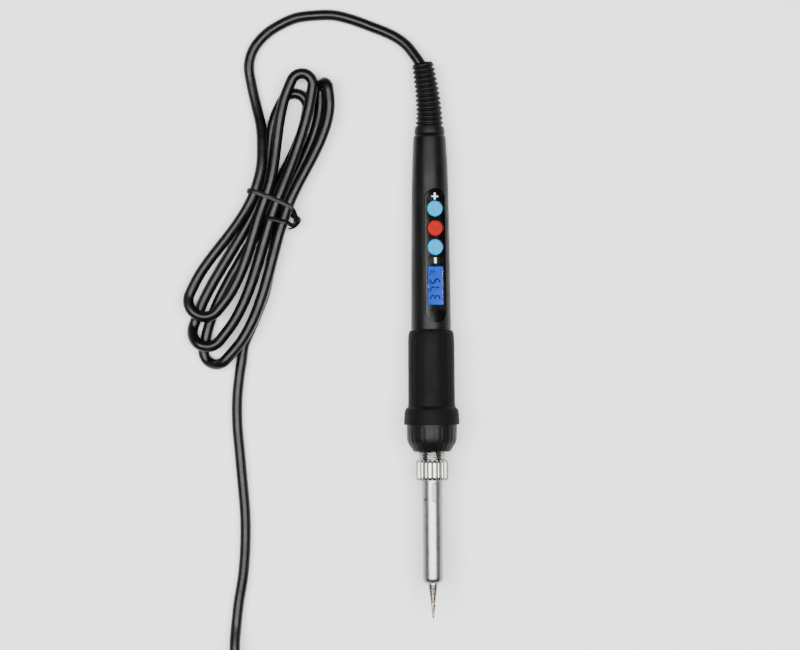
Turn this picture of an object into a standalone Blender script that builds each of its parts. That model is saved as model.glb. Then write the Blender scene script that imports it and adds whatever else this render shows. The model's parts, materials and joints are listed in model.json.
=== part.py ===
"""A digital soldering iron with its mains lead tied in a hank, built as separate solids.

Sizes are in millimetres, and the helpers turn them into Blender's metres. Along the iron, a station is
the distance from the middle of its length: the lead's end is positive and the tip's end is negative.
Every turned piece is a profile of (radius, station) pairs about the iron's axis.
"""

import math

import bmesh
import bpy
from mathutils import Matrix, Vector

MM = 0.001
GAP = 0.3  # between two pieces that touch

# ---------------------------------------------------------------- driving dimensions, mm
ROUND_STEPS = 32
FINE_STEPS = 24

HANDLE_REAR = 85.9
HANDLE_STEP = 4.5  # where the handle narrows to enter the grip
SPIGOT_FRONT = -39.8
SPIGOT_R = 7.5
HANDLE_BORE_R = 6.0
REAR_HOLE_R = 4.3
REAR_WALL = 1.7

GRIP_REAR = HANDLE_STEP - GAP
GRIP_BORE_R = SPIGOT_R + GAP
FLANGE_FRONT = -35.5
FLANGE_R = 11.7
FLANGE_EDGE = -34.6  # the station of the flange's widest ring
FLANGE_SEAT_R = 10.9
FLANGE_SEAT = -34.5

NOSE_REAR = FLANGE_SEAT - GAP
NOSE_FRONT = -46.8
NOSE_WALL = -45.2  # the inner face of the nose's end wall
COLLAR_R = 5.65
COLLAR_BORE_R = 4.4
COLLAR_FRONT = -55.0
NUT_REAR = -50.3
NUT_FRONT = -58.7
NUT_R = 6.83
NUT_GROOVES = 20
NUT_GROOVE = 0.8  # the width of a groove's square cutter
BARREL_R = 4.25
BARREL_BORE_R = 3.75
BARREL_REAR = COLLAR_FRONT - GAP
BARREL_FRONT = -101.5
BARREL_FLANGE_R = 5.6
TIP_R = 2.1
TIP_SLEEVE_R = 3.4
TIP_BORE_R = 2.3
TIP_END = -116.3
HEATER_R = 2.0
HEATER_REAR = -44.0
HEATER_FRONT = -98.0

SLOT_LENGTH = 8.0
SLOT_WIDTH = 2.2
SLOT_STATION = -63.6
SLOT_ANGLES = (10.0, 130.0, 250.0)
VENT_R = 0.65
VENT_STATION = -66.7
VENT_ANGLES = (315.0, 75.0, 195.0)

# The iron rests on its flange and on the widest part of the handle's rear.
REST_STATION = 71.0
REST_R = 7.58
TILT = math.atan((FLANGE_R - REST_R) / (REST_STATION - FLANGE_EDGE))
AXIS_HEIGHT = FLANGE_R * math.cos(TILT) + FLANGE_EDGE * math.sin(TILT)
AXIS_SHIFT = -0.344  # puts the middle of the iron's length over the origin

# The control panel is turned about the iron's axis and follows the handle's slight taper.
PANEL_TURN = math.radians(16.5)
PANEL_PITCH = math.radians(0.65)
PANEL_STATION = 35.05
PANEL_HEIGHT = 6.8
PANEL_LENGTH = 55.8
PANEL_WIDTH = 8.6
PANEL_THICK = 0.9
POCKET_DEPTH = PANEL_THICK + GAP
WINDOW_WIDTH = 7.6
WINDOW_LENGTH = 54.0

BUTTON_R = 3.3
BUTTON_HOLE_R = 3.55
BUTTON_TOP = 0.75  # how far a button stands out of the panel
BUTTONS = (("plus", 19.55), ("power", 11.35), ("minus", 3.45))
SCREEN_CENTRE = -12.6
SCREEN_WIDTH = 6.6
SCREEN_LENGTH = 15.9

BOARD_TOP = 2.6
BOARD_THICK = 1.0
BOARD_WIDTH = 10.0
BOARD_REAR = 72.0
BOARD_FRONT = -12.0
BOARD_SCREWS = (("rear", 66.0), ("front", -4.0))
SCREW_R = 0.8
SCREW_HOLE_R = 1.1
CRADLE_R = 5.7
CRADLE_BORE_R = 4.7
CRADLE_REAR = 82.2
CRADLE_FRONT = -38.0
CRADLE_EDGE = 1.3

BOOT_BEND_START = 94.0
BOOT_END = 116.3
BOOT_BEND = 2.75  # how far aside the boot's end leans
BOOT_NECK_R = 5.6
BOOT_END_R = 4.6
BOOT_RINGS = 7

CORD_R = 2.4
HANK_TOP = 10.2
TIE_CENTRE = (-66.7, 59.1)
TIE_TURN = math.radians(-21.3)
TIE_LENGTH = 23.0
TIE_WIDTH = 1.4
TIE_THICK = 0.7

PLUG_FACE = -172.0
PLUG_LENGTH = 35.0
PLUG_WIDTH = 35.3
PLUG_NECK_WIDTH = 12.0
PLUG_SHOULDER = 15.0  # where the body starts to narrow
PLUG_HEIGHT = 13.7
PLUG_X = -83.5
PIN_R = 2.0
PIN_SPACING = 18.6
PIN_OUT = 19.0
PIN_IN = 8.0

# The lead's route, (x, y, height of its centre), from the end of the boot to the hank.
ARCH_ROUTE = (
    (-3.7, 116.0, 5.8),
    (-3.9, 117.0, 5.7),
    (-6.0, 119.5, 5.2),
    (-9.5, 124.0, 4.3),
    (-14.0, 127.5, 3.4),
    (-19.0, 130.0, 2.8),
    (-24.0, 132.0, 2.5),
    (-32.0, 135.0, 2.5),
    (-40.0, 137.0, 2.5),
    (-48.0, 137.0, 2.5),
    (-56.0, 136.0, 2.5),
    (-63.0, 133.0, 2.5),
    (-69.0, 129.0, 2.5),
    (-74.0, 123.0, 2.5),
    (-76.0, 116.0, 2.5),
    (-75.0, 108.0, 2.5),
    (-73.0, 99.0, 3.1),
    (-71.0, 90.0, 4.8),
    (-70.5, 81.0, 6.6),
)
# The lead's route from the hank to the plug.
TAIL_ROUTE = (
    (-80.0, -9.0, 2.5),
    (-81.0, -15.0, 2.5),
    (-82.0, -25.0, 2.5),
    (-82.0, -36.0, 2.5),
    (-81.0, -48.0, 2.5),
    (-80.0, -60.0, 2.5),
    (-79.0, -73.0, 2.5),
    (-79.0, -86.0, 2.5),
    (-80.0, -99.0, 2.5),
    (-82.0, -111.0, 2.5),
    (-83.0, -120.0, 3.4),
    (-83.5, -127.0, 5.4),
    (-83.5, -133.0, 6.7),
    (-83.5, -136.6, 6.85),
)
# The hank's folds, anticlockwise, at its lower and then its upper end: each one's centre, the radius of the
# lead's centre line, and the angles between which its outer edge shows.
LOWER_FOLDS = (
    ((-95.0, 17.0), 7.0, 140, 215),
    ((-94.0, 4.0), 6.6, 165, 230),
    ((-90.5, -4.4), 5.6, 195, 300),
)
UPPER_FOLDS = (
    ((-45.4, 105.0), 3.0, -10, 100),
    ((-53.5, 107.5), 4.6, 45, 150),
    ((-57.0, 98.5), 5.6, 140, 180),
)
# The hank's sides, anticlockwise: round the tail's start and up the right, then down the left past the arch.
RIGHT_SIDE = (
    (-83.2, -8.6),
    (-77.2, -8.6),
    (-72.5, 10.0),
    (-66.0, 30.0),
    (-60.5, 50.0),
    (-56.0, 61.0),
    (-52.5, 70.0),
    (-44.0, 90.0),
)
LEFT_SIDE = (
    (-67.2, 90.0),
    (-67.7, 80.5),
    (-73.2, 80.5),
    (-73.2, 72.0),
    (-75.5, 64.0),
    (-83.0, 50.0),
    (-90.0, 40.0),
    (-98.0, 29.5),
)


# ---------------------------------------------------------------- scene and materials
def clear_scene():
    for thing in list(bpy.data.objects):
        bpy.data.objects.remove(thing, do_unlink=True)


def collection(name):
    group = bpy.data.collections.new(name)
    bpy.context.scene.collection.children.link(group)
    return group


def paint(name, colour, roughness, metallic=0.0):
    material = bpy.data.materials.new(name)
    material.use_nodes = True
    shader = material.node_tree.nodes["Principled BSDF"]
    shader.inputs["Base Color"].default_value = (*colour, 1.0)
    shader.inputs["Roughness"].default_value = roughness
    shader.inputs["Metallic"].default_value = metallic
    return material


def frame_empty(name, location, rotation, parent=None):
    empty = bpy.data.objects.new(name, None)
    empty.parent = parent
    empty.location = Vector(location) * MM
    empty.rotation_euler = rotation
    PARTS.objects.link(empty)
    return empty


def place(thing, parent, location=(0, 0, 0), rotation=(0, 0, 0), material=None):
    """Puts a piece in the parts collection, in its parent's frame."""
    thing.parent = parent
    thing.location = Vector(location) * MM
    thing.rotation_euler = rotation
    if material:
        thing.data.materials.append(material)
    PARTS.objects.link(thing)
    return thing


# ---------------------------------------------------------------- shape helpers
def shade(mesh, angle=35.0):
    mesh.shade_smooth()
    mesh.set_sharp_from_angle(angle=math.radians(angle))


def turned(name, profile, material, parent, steps=ROUND_STEPS, open_profile=False):
    """Turns a (radius, station) profile about the iron's axis."""
    mesh = bpy.data.meshes.new(name)
    points = [(radius * MM, 0.0, station * MM) for radius, station in profile]
    edges = [(i, i + 1) for i in range(len(points) - 1)]
    if not open_profile:
        edges.append((len(points) - 1, 0))
    mesh.from_pydata(points, edges, [])
    thing = place(bpy.data.objects.new(name, mesh), parent, rotation=(-math.pi / 2, 0, 0), material=material)
    screw = thing.modifiers.new("Turn", "SCREW")
    screw.steps = steps
    screw.render_steps = steps
    screw.use_merge_vertices = True
    screw.merge_threshold = 0.000001
    screw.use_smooth_shade = True
    return thing


def rod(name, radius, length, centre, material, parent, along="Y", steps=FINE_STEPS):
    """A plain cylinder along the parent's Y or Z."""
    mesh = bpy.data.meshes.new(name)
    shape = bmesh.new()
    bmesh.ops.create_cone(
        shape,
        cap_ends=True,
        segments=steps,
        radius1=radius * MM,
        radius2=radius * MM,
        depth=length * MM,
    )
    shape.to_mesh(mesh)
    shape.free()
    shade(mesh)
    turn = (-math.pi / 2, 0, 0) if along == "Y" else (0, 0, 0)
    return place(bpy.data.objects.new(name, mesh), parent, centre, turn, material)


def block(name, size, centre, material, parent, bevel=0.0, rotation=(0, 0, 0)):
    mesh = bpy.data.meshes.new(name)
    shape = bmesh.new()
    bmesh.ops.create_cube(shape, size=1.0)
    bmesh.ops.scale(shape, vec=Vector(size) * MM, verts=shape.verts)
    shape.to_mesh(mesh)
    shape.free()
    thing = place(bpy.data.objects.new(name, mesh), parent, centre, rotation, material)
    if bevel:
        edge = thing.modifiers.new("Edges", "BEVEL")
        edge.width = bevel * MM
        edge.segments = 2
        edge.limit_method = "ANGLE"
    return thing


def arc(centre_x, centre_y, radius, start, end, count):
    """Points on an arc, with its angles in degrees."""
    angles = [math.radians(start + (end - start) * i / (count - 1)) for i in range(count)]
    return [(centre_x + radius * math.cos(a), centre_y + radius * math.sin(a)) for a in angles]


def circle(centre_x, centre_y, radius, count=FINE_STEPS):
    return arc(centre_x, centre_y, radius, 0, 360, count + 1)[:-1]


def stadium(width, length, count=10):
    """A stadium along Y: two straight sides and two round ends."""
    radius = width / 2
    middle = length / 2 - radius
    return arc(0, middle, radius, 0, 180, count) + arc(0, -middle, radius, 180, 360, count)


def rectangle(width, length, centre_y=0.0, corner=0.6):
    """A rectangle with round corners."""
    x = width / 2 - corner
    y = length / 2 - corner
    corners = ((x, y, 0), (-x, y, 90), (-x, -y, 180), (x, -y, 270))
    points = []
    for corner_x, corner_y, start in corners:
        points += arc(corner_x, centre_y + corner_y, corner, start, start + 90, 4)
    return points


def outline(name, loops, thickness, centre, material, parent, rotation=(0, 0, 0)):
    """A flat outline, its first loop outside and the others holes, with a thickness along Z."""
    curve = bpy.data.curves.new(name, "CURVE")
    curve.dimensions = "2D"
    curve.fill_mode = "BOTH"
    curve.extrude = thickness * MM / 2
    curve.render_resolution_u = 0
    for loop in loops:
        spline = curve.splines.new("POLY")
        spline.points.add(len(loop) - 1)
        spline.use_cyclic_u = True
        for point, (x, y) in zip(spline.points, loop):
            point.co = (x * MM, y * MM, 0.0, 1.0)
    return place(bpy.data.objects.new(name, curve), parent, centre, rotation, material)


def smooth_points(route, spacing):
    """Points at about one spacing along a smooth curve through the route's own points."""
    knots = [Vector(point) for point in route]
    knots = [2 * knots[0] - knots[1]] + knots + [2 * knots[-1] - knots[-2]]
    fine = []
    for p0, p1, p2, p3 in zip(knots, knots[1:], knots[2:], knots[3:]):
        for step in range(12):
            t = step / 12
            square = 2 * p0 - 5 * p1 + 4 * p2 - p3
            cube = 3 * p1 - p0 - 3 * p2 + p3
            fine.append(p1 + (p2 - p0) * t / 2 + square * t**2 / 2 + cube * t**3 / 2)
    fine.append(knots[-2])
    lengths = [0.0]
    for a, b in zip(fine, fine[1:]):
        lengths.append(lengths[-1] + (b - a).length)
    count = max(2, round(lengths[-1] / spacing) + 1)
    points = []
    here = 0
    for i in range(count):
        target = lengths[-1] * i / (count - 1)
        while here < len(fine) - 2 and lengths[here + 1] < target:
            here += 1
        span = lengths[here + 1] - lengths[here]
        share = (target - lengths[here]) / span if span else 0.0
        points.append(fine[here].lerp(fine[here + 1], share))
    return points


def cable(name, points, radii, material, parent, sides=2):
    """A round cable through points, with one radius or one for each point."""
    curve = bpy.data.curves.new(name, "CURVE")
    curve.dimensions = "3D"
    curve.bevel_depth = MM
    curve.bevel_resolution = sides
    curve.use_fill_caps = True
    curve.render_resolution_u = 0
    spline = curve.splines.new("POLY")
    spline.points.add(len(points) - 1)
    for i, (knot, point) in enumerate(zip(spline.points, points)):
        knot.co = (*(Vector(point) * MM), 1.0)
        knot.radius = radii[i] if isinstance(radii, (list, tuple)) else radii
    return place(bpy.data.objects.new(name, curve), parent, material=material)


def as_mesh(thing):
    """Makes a curve object a mesh object with welded caps, so that it can be cut."""
    bpy.context.view_layer.update()
    name = thing.name
    evaluated = thing.evaluated_get(bpy.context.evaluated_depsgraph_get())
    mesh = bpy.data.meshes.new_from_object(evaluated)
    shape = bmesh.new()
    shape.from_mesh(mesh)
    bmesh.ops.remove_doubles(shape, verts=shape.verts, dist=0.000001)
    bmesh.ops.recalc_face_normals(shape, faces=shape.faces)
    shape.to_mesh(mesh)
    shape.free()
    parent = thing.parent
    world = thing.matrix_world.copy()
    bpy.data.objects.remove(thing, do_unlink=True)
    mesh.name = name
    made = bpy.data.objects.new(name, mesh)
    PARTS.objects.link(made)
    made.parent = parent
    made.matrix_world = world
    return made


def combine(target, tool, operation):
    """Cuts a tool from a target, or joins it on, and puts the tool away."""
    tool.hide_render = True
    tool.display_type = "WIRE"
    PARTS.objects.unlink(tool)
    CUTTERS.objects.link(tool)
    change = target.modifiers.new(tool.name, "BOOLEAN")
    change.operation = operation
    change.solver = "EXACT"
    change.object = tool


# ---------------------------------------------------------------- casing
def make_handle(iron, panel):
    profile = [
        (6.5, HANDLE_REAR),
        (6.85, HANDLE_REAR - 0.9),
        (6.95, 83.6),
        (REST_R, REST_STATION),
        (8.05, 42.0),
        (8.37, 8.0),
        (8.37, HANDLE_STEP),
        (SPIGOT_R, HANDLE_STEP),
        (SPIGOT_R, SPIGOT_FRONT),
        (HANDLE_BORE_R, SPIGOT_FRONT),
        (HANDLE_BORE_R, HANDLE_REAR - REAR_WALL),
        (REAR_HOLE_R, HANDLE_REAR - REAR_WALL),
        (REAR_HOLE_R, HANDLE_REAR),
    ]
    handle = turned("handle_body", profile, SATIN_BLACK, iron)
    reach = 6.0
    pocket = outline(
        "handle_pocket",
        [stadium(PANEL_WIDTH + 0.5, PANEL_LENGTH + 0.5)],
        POCKET_DEPTH + reach,
        (0, 0, (reach - POCKET_DEPTH) / 2),
        None,
        panel,
    )
    opening = stadium(WINDOW_WIDTH, WINDOW_LENGTH)
    window = outline("handle_window", [opening], reach, (0, 0, -reach / 2), None, panel)
    combine(handle, as_mesh(pocket), "DIFFERENCE")
    combine(handle, as_mesh(window), "DIFFERENCE")


def make_grip(iron):
    profile = [
        (8.5, GRIP_REAR),
        (9.1, 3.6),
        (9.5, 2.4),
        (9.7, 0.0),
        (9.8, -26.0),
        (9.95, -28.1),
        (10.9, -28.8),
        (11.35, -29.8),
        (11.5, -31.2),
        (FLANGE_R, FLANGE_EDGE),
        (11.5, FLANGE_FRONT),
        (FLANGE_SEAT_R, FLANGE_FRONT),
        (FLANGE_SEAT_R, FLANGE_SEAT),
        (GRIP_BORE_R, FLANGE_SEAT),
        (GRIP_BORE_R, GRIP_REAR),
    ]
    turned("grip_sleeve", profile, RUBBER, iron)


def make_nose(iron):
    profile = [
        (10.6, NOSE_REAR),
        (10.48, -41.4),
        (10.15, -42.9),
        (9.1, -44.5),
        (7.9, -46.5),
        (7.6, NOSE_FRONT),
        (COLLAR_R + GAP, NOSE_FRONT),
        (COLLAR_R + GAP, NOSE_WALL),
        (GRIP_BORE_R, NOSE_WALL),
        (GRIP_BORE_R, NOSE_REAR),
    ]
    turned("nose_cap", profile, MOULDED_BLACK, iron)


def boot_ring(share):
    """One ring of the boot's taper, (aside, station, radius), a share of the way to its end."""
    aside = -BOOT_BEND * share**1.5
    station = BOOT_BEND_START + (BOOT_END - BOOT_BEND_START) * share
    return (aside, station, BOOT_NECK_R + (BOOT_END_R - BOOT_NECK_R) * share)


def make_boot(iron):
    """The moulded strain relief: a disc inside the handle, a neck, and a taper that bends aside."""
    rings = (
        (0.0, 82.6, 5.6),
        (0.0, 83.8, 5.6),
        (0.0, 83.9, 4.0),
        (0.0, HANDLE_REAR + 0.2, 4.0),
        (0.0, HANDLE_REAR + 0.3, 6.4),
        (0.0, 88.0, 6.3),
        (0.0, 90.0, 6.0),
        *[boot_ring(i / (BOOT_RINGS - 1)) for i in range(BOOT_RINGS)],
    )
    points = [(x, station, 0.0) for x, station, radius in rings]
    radii = [radius for x, station, radius in rings]
    cable("strain_relief_boot", points, radii, RUBBER, iron, sides=4)


# ---------------------------------------------------------------- hot end
def make_collar(iron):
    profile = [
        (SPIGOT_R, -43.4),
        (SPIGOT_R, NOSE_WALL + GAP),
        (COLLAR_R, NOSE_WALL + GAP),
        (COLLAR_R, COLLAR_FRONT),
        (COLLAR_BORE_R, COLLAR_FRONT),
        (COLLAR_BORE_R, -43.4),
    ]
    turned("threaded_collar", profile, NICKEL, iron)


def make_heater(iron):
    profile = [
        (7.2, SPIGOT_FRONT - GAP),
        (7.2, -43.1),
        (4.1, -43.1),
        (4.1, -50.0),
        (TIP_BORE_R, -50.0),
        (TIP_BORE_R, SPIGOT_FRONT - GAP),
    ]
    turned("heater_base", profile, CERAMIC, iron, FINE_STEPS)
    middle = (HEATER_REAR + HEATER_FRONT) / 2
    rod("heater_rod", HEATER_R, HEATER_REAR - HEATER_FRONT, (0, middle, 0), CERAMIC, iron, steps=16)


def make_heater_leads(roll):
    """Four thin wires from the heater back to the underside of the board."""
    leads = (
        ("heater_lead_left", -0.9, 0.9, -1.2),
        ("heater_lead_right", 0.9, 0.9, 1.2),
        ("sensor_lead_left", -0.9, -0.9, -3.2),
        ("sensor_lead_right", 0.9, -0.9, 3.2),
    )
    for name, x, height, end_x in leads:
        route = (
            (x, HEATER_REAR + GAP, height),
            (x, -38.0, height),
            ((x + end_x) / 2, -24.0, height),
            (end_x, -14.0, 0.8),
            (end_x, -9.5, 0.9),
        )
        cable(name, route, 0.35, COPPER, roll, sides=0)


def make_barrel(iron):
    profile = [
        (BARREL_FLANGE_R, BARREL_REAR),
        (BARREL_FLANGE_R, BARREL_REAR - 1.2),
        (BARREL_R, BARREL_REAR - 1.2),
        (BARREL_R, -99.6),
        (3.9, -100.8),
        (3.0, BARREL_FRONT),
        (TIP_R + 0.35, BARREL_FRONT),
        (TIP_R + 0.35, -100.2),
        (BARREL_BORE_R, -99.7),
        (BARREL_BORE_R, BARREL_REAR),
    ]
    barrel = turned("barrel_tube", profile, STEEL, iron)
    for number, angle in enumerate(SLOT_ANGLES):
        cutter = outline(
            f"slot_cutter_{number}",
            [stadium(SLOT_WIDTH, SLOT_LENGTH, 6)],
            4.0,
            radial(angle, BARREL_R, SLOT_STATION),
            None,
            iron,
            (0, math.radians(angle), 0),
        )
        combine(barrel, as_mesh(cutter), "DIFFERENCE")
    for number, angle in enumerate(VENT_ANGLES):
        cutter = outline(
            f"vent_cutter_{number}",
            [circle(0, 0, VENT_R, 10)],
            4.0,
            radial(angle, BARREL_R, VENT_STATION),
            None,
            iron,
            (0, math.radians(angle), 0),
        )
        combine(barrel, as_mesh(cutter), "DIFFERENCE")


def radial(angle, radius, station):
    """A point at an angle about the iron's axis, counted from straight up towards +X."""
    a = math.radians(angle)
    return (radius * math.sin(a), station, radius * math.cos(a))


def make_tip(iron):
    profile = [
        (0.0, -98.6),
        (TIP_BORE_R, -98.6),
        (TIP_BORE_R, -74.3),
        (TIP_SLEEVE_R, -74.3),
        (TIP_SLEEVE_R, -99.3),
        (TIP_R, -99.3),
        (TIP_R, -102.0),
        (1.05, -109.6),
        (0.4, -115.8),
        (0.0, TIP_END),
    ]
    turned("soldering_tip", profile, TINNED, iron, FINE_STEPS, open_profile=True)


def make_nut(iron):
    profile = [
        (6.3, NUT_REAR),
        (NUT_R, NUT_REAR - 0.8),
        (NUT_R, NUT_FRONT + 1.0),
        (6.2, NUT_FRONT + 0.1),
        (5.9, NUT_FRONT),
        (4.55, NUT_FRONT),
        (4.55, -56.9),
        (COLLAR_R + GAP, -56.9),
        (COLLAR_R + GAP, NUT_REAR),
    ]
    nut = turned("knurled_nut", profile, NICKEL, iron, 40)
    mesh = bpy.data.meshes.new("nut_grooves")
    shape = bmesh.new()
    size = Vector((NUT_GROOVE, 12.0, NUT_GROOVE)) * MM
    centre = Vector((0, (NUT_REAR + NUT_FRONT) / 2, NUT_R)) * MM
    for groove in range(NUT_GROOVES):
        turn = Matrix.Rotation(2 * math.pi * (groove + 0.5) / NUT_GROOVES, 3, "Y")
        verts = bmesh.ops.create_cube(shape, size=1.0)["verts"]
        bmesh.ops.scale(shape, vec=size, verts=verts)
        bmesh.ops.translate(shape, vec=centre, verts=verts)
        bmesh.ops.rotate(shape, cent=(0, 0, 0), matrix=turn, verts=verts)
    shape.to_mesh(mesh)
    shape.free()
    cutter = place(bpy.data.objects.new("nut_grooves", mesh), iron)
    combine(nut, cutter, "DIFFERENCE")


# ---------------------------------------------------------------- control panel
def make_panel(panel):
    window = rectangle(SCREEN_WIDTH + 0.6, SCREEN_LENGTH + 0.6, SCREEN_CENTRE)
    holes = [circle(0, y, BUTTON_HOLE_R) for name, y in BUTTONS]
    loops = [stadium(PANEL_WIDTH, PANEL_LENGTH, 12), window, *holes]
    outline("fascia_panel", loops, PANEL_THICK, (0, 0, -PANEL_THICK / 2), GLOSS_BLACK, panel)
    lens = rectangle(SCREEN_WIDTH, SCREEN_LENGTH)
    outline("display_lens", [lens], 0.7, (0, SCREEN_CENTRE, -0.4), CLEAR, panel)
    block("lcd_cell", (7.0, 18.5, 1.2), (0, SCREEN_CENTRE, -1.8), LCD_BLUE, panel)
    block("lcd_backlight", (7.0, 17.5, 1.2), (0, SCREEN_CENTRE, -3.3), LCD_BLUE, panel)


def make_button(name, y, material, panel):
    """A round cap with two ears that keep it under the panel, and a stem into its switch."""
    cap_bottom = -(PANEL_THICK + GAP)
    travel_frame = frame_empty(f"button_{name}_axis", (0, y, 0), (0, 0, 0), panel)
    height = BUTTON_TOP - cap_bottom + 0.2
    button = rod(
        f"button_{name}",
        BUTTON_R,
        height,
        (0, 0, BUTTON_TOP - height / 2),
        material,
        travel_frame,
        along="Z",
    )
    ears = block(f"ears_{name}", (2.4, 7.8, 0.5), (0, 0, cap_bottom - 0.25), None, travel_frame)
    stem = rod(f"stem_{name}", 1.2, 1.6, (0, 0, -2.3), None, travel_frame, along="Z", steps=12)
    combine(button, ears, "UNION")
    combine(button, stem, "UNION")


def make_switches(roll):
    """One tact switch under each button, with a well for the button's stem."""
    for name, y in BUTTONS:
        station = PANEL_STATION + y
        loops = [rectangle(4.6, 4.6, 0.0, 0.3), circle(0, 0, 1.55, 12)]
        outline(f"switch_{name}", loops, 1.2, (0, station, BOARD_TOP + GAP + 0.6), MOULDED_BLACK, roll)


# ---------------------------------------------------------------- inside the handle
def make_board(roll):
    length = BOARD_REAR - BOARD_FRONT
    middle = (BOARD_REAR + BOARD_FRONT) / 2
    holes = [circle(0, station - middle, SCREW_HOLE_R, 12) for name, station in BOARD_SCREWS]
    loops = [rectangle(BOARD_WIDTH, length, 0.0, 0.5), *holes]
    outline("circuit_board", loops, BOARD_THICK, (0, middle, BOARD_TOP - BOARD_THICK / 2), BOARD_GREEN, roll)
    block("microcontroller", (4.0, 5.0, 1.4), (0, 2.5, BOARD_TOP + GAP + 0.7), MOULDED_BLACK, roll)
    block("triac", (7.6, 10.5, 3.0), (0, 8.0, -0.2), MOULDED_BLACK, roll)
    rod("capacitor", 2.4, 8.0, (0, 20.0, -1.2), NICKEL, roll, steps=16)


def make_cradle(roll):
    """A half tube whose edges carry the board, with a boss under each board screw."""
    outer_edge = math.degrees(math.asin(CRADLE_EDGE / CRADLE_R))
    inner_edge = math.degrees(math.asin(CRADLE_EDGE / CRADLE_BORE_R))
    outer = arc(0, 0, CRADLE_R, 180 - outer_edge, 360 + outer_edge, 20)
    inner = arc(0, 0, CRADLE_BORE_R, 360 + inner_edge, 180 - inner_edge, 20)
    middle = (CRADLE_REAR + CRADLE_FRONT) / 2
    cradle = outline(
        "inner_frame",
        [outer + inner],
        CRADLE_REAR - CRADLE_FRONT,
        (0, middle, 0),
        MOULDED_BLACK,
        roll,
        (math.pi / 2, 0, 0),
    )
    cradle = as_mesh(cradle)
    boss_bottom = -5.2
    height = CRADLE_EDGE - boss_bottom
    for name, station in BOARD_SCREWS:
        centre = (0, station, boss_bottom + height / 2)
        combine(cradle, block(f"boss_{name}", (3.6, 4.0, height), centre, None, roll), "UNION")
    for name, station in BOARD_SCREWS:
        hole = rod(f"boss_hole_{name}", SCREW_HOLE_R, 5.0, (0, station, 0.0), None, roll, "Z", 12)
        combine(cradle, hole, "DIFFERENCE")


def make_board_screws(roll):
    for name, station in BOARD_SCREWS:
        under = BOARD_TOP + GAP
        head = rod(f"board_screw_{name}", 1.8, 1.1, (0, station, under + 0.55), NICKEL, roll, "Z", 16)
        shank = rod(f"shank_{name}", SCREW_R, 4.9, (0, station, under - 2.2), None, roll, "Z", 12)
        combine(head, shank, "UNION")


def make_inner_lead(roll):
    rod("lead_inner", CORD_R, 6.8, (0, 78.9, 0), CORD_BLACK, roll)
    for name, side, colour in (("live", -1, WIRE_BROWN), ("neutral", 1, WIRE_BLUE)):
        route = (
            (side * 1.1, 75.2, 0.0),
            (side * 1.4, 73.0, 0.1),
            (side * 2.2, 71.0, 0.4),
            (side * 2.4, 69.0, 0.5),
        )
        cable(f"supply_wire_{name}", route, 0.75, colour, roll, sides=1)


# ---------------------------------------------------------------- lead, hank and plug
def fold_edges(folds):
    """The outer edges of the lead where it folds."""
    points = []
    for (x, y), radius, start, end in folds:
        points += arc(x, y, radius + CORD_R, start, end, 8)
    return points


def make_lead():
    arch = [Vector(ARCH_ROUTE[0]), *smooth_points(ARCH_ROUTE[1:], 5.5)]
    cable("lead_arch", arch, CORD_R, CORD_BLACK, None, sides=3)
    cable("lead_tail", smooth_points(TAIL_ROUTE, 6.0), CORD_R, CORD_BLACK, None, sides=3)
    edge = [*fold_edges(LOWER_FOLDS), *RIGHT_SIDE, *fold_edges(UPPER_FOLDS), *LEFT_SIDE]
    hank = outline("lead_hank", [edge], HANK_TOP, (0, 0, HANK_TOP / 2), CORD_BLACK, None)
    groove = tie_ring("tie_groove", GAP, None)
    combine(as_mesh(hank), as_mesh(groove), "DIFFERENCE")
    tie_ring("cord_tie", 0.0, TIE_BLACK)


def tie_ring(name, clearance, material):
    """The tie's band around the hank's waist, or with a clearance the groove that it lies in."""
    top = HANK_TOP - GAP
    height = top + clearance * 4
    outer = rectangle(TIE_LENGTH + (8.0 if clearance else 0.0), height, 0.0, 0.3)
    inner_width = TIE_LENGTH - 2 * (TIE_THICK + clearance)
    inner_height = top - 2 * (TIE_THICK + clearance)
    inner = rectangle(inner_width, inner_height, 0.0, 0.3)
    centre = (*TIE_CENTRE, top / 2)
    width = TIE_WIDTH + 2 * clearance
    return outline(name, [outer, inner], width, centre, material, None, (math.pi / 2, 0, TIE_TURN))


def make_plug():
    half_face = PLUG_WIDTH / 2
    half_neck = PLUG_NECK_WIDTH / 2
    right_side = [
        (half_face, 0.0),
        (half_face, PLUG_SHOULDER),
        (half_neck + 3.0, PLUG_LENGTH - 8.0),
        (half_neck, PLUG_LENGTH),
    ]
    shape = right_side + [(-x, y) for x, y in reversed(right_side)]
    axis_height = PLUG_HEIGHT / 2
    centre = (PLUG_X, PLUG_FACE, axis_height)
    body = as_mesh(outline("plug_body", [shape], PLUG_HEIGHT, centre, PLUG_BLACK, None))
    for side, name in ((-1, "left"), (1, "right")):
        x = PLUG_X + side * PIN_SPACING / 2
        hole_depth = PIN_IN + GAP
        hole = rod(f"pin_hole_{name}", PIN_R + GAP, 2 * hole_depth, (x, PLUG_FACE, axis_height), None, None)
        combine(body, hole, "DIFFERENCE")
        length = PIN_IN + PIN_OUT
        middle = PLUG_FACE + PIN_IN - length / 2
        rod(f"plug_pin_{name}", PIN_R, length, (x, middle, axis_height), NICKEL, None)


# ---------------------------------------------------------------- the whole object
clear_scene()
PARTS = collection("soldering_iron")
CUTTERS = collection("cutters")

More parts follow.
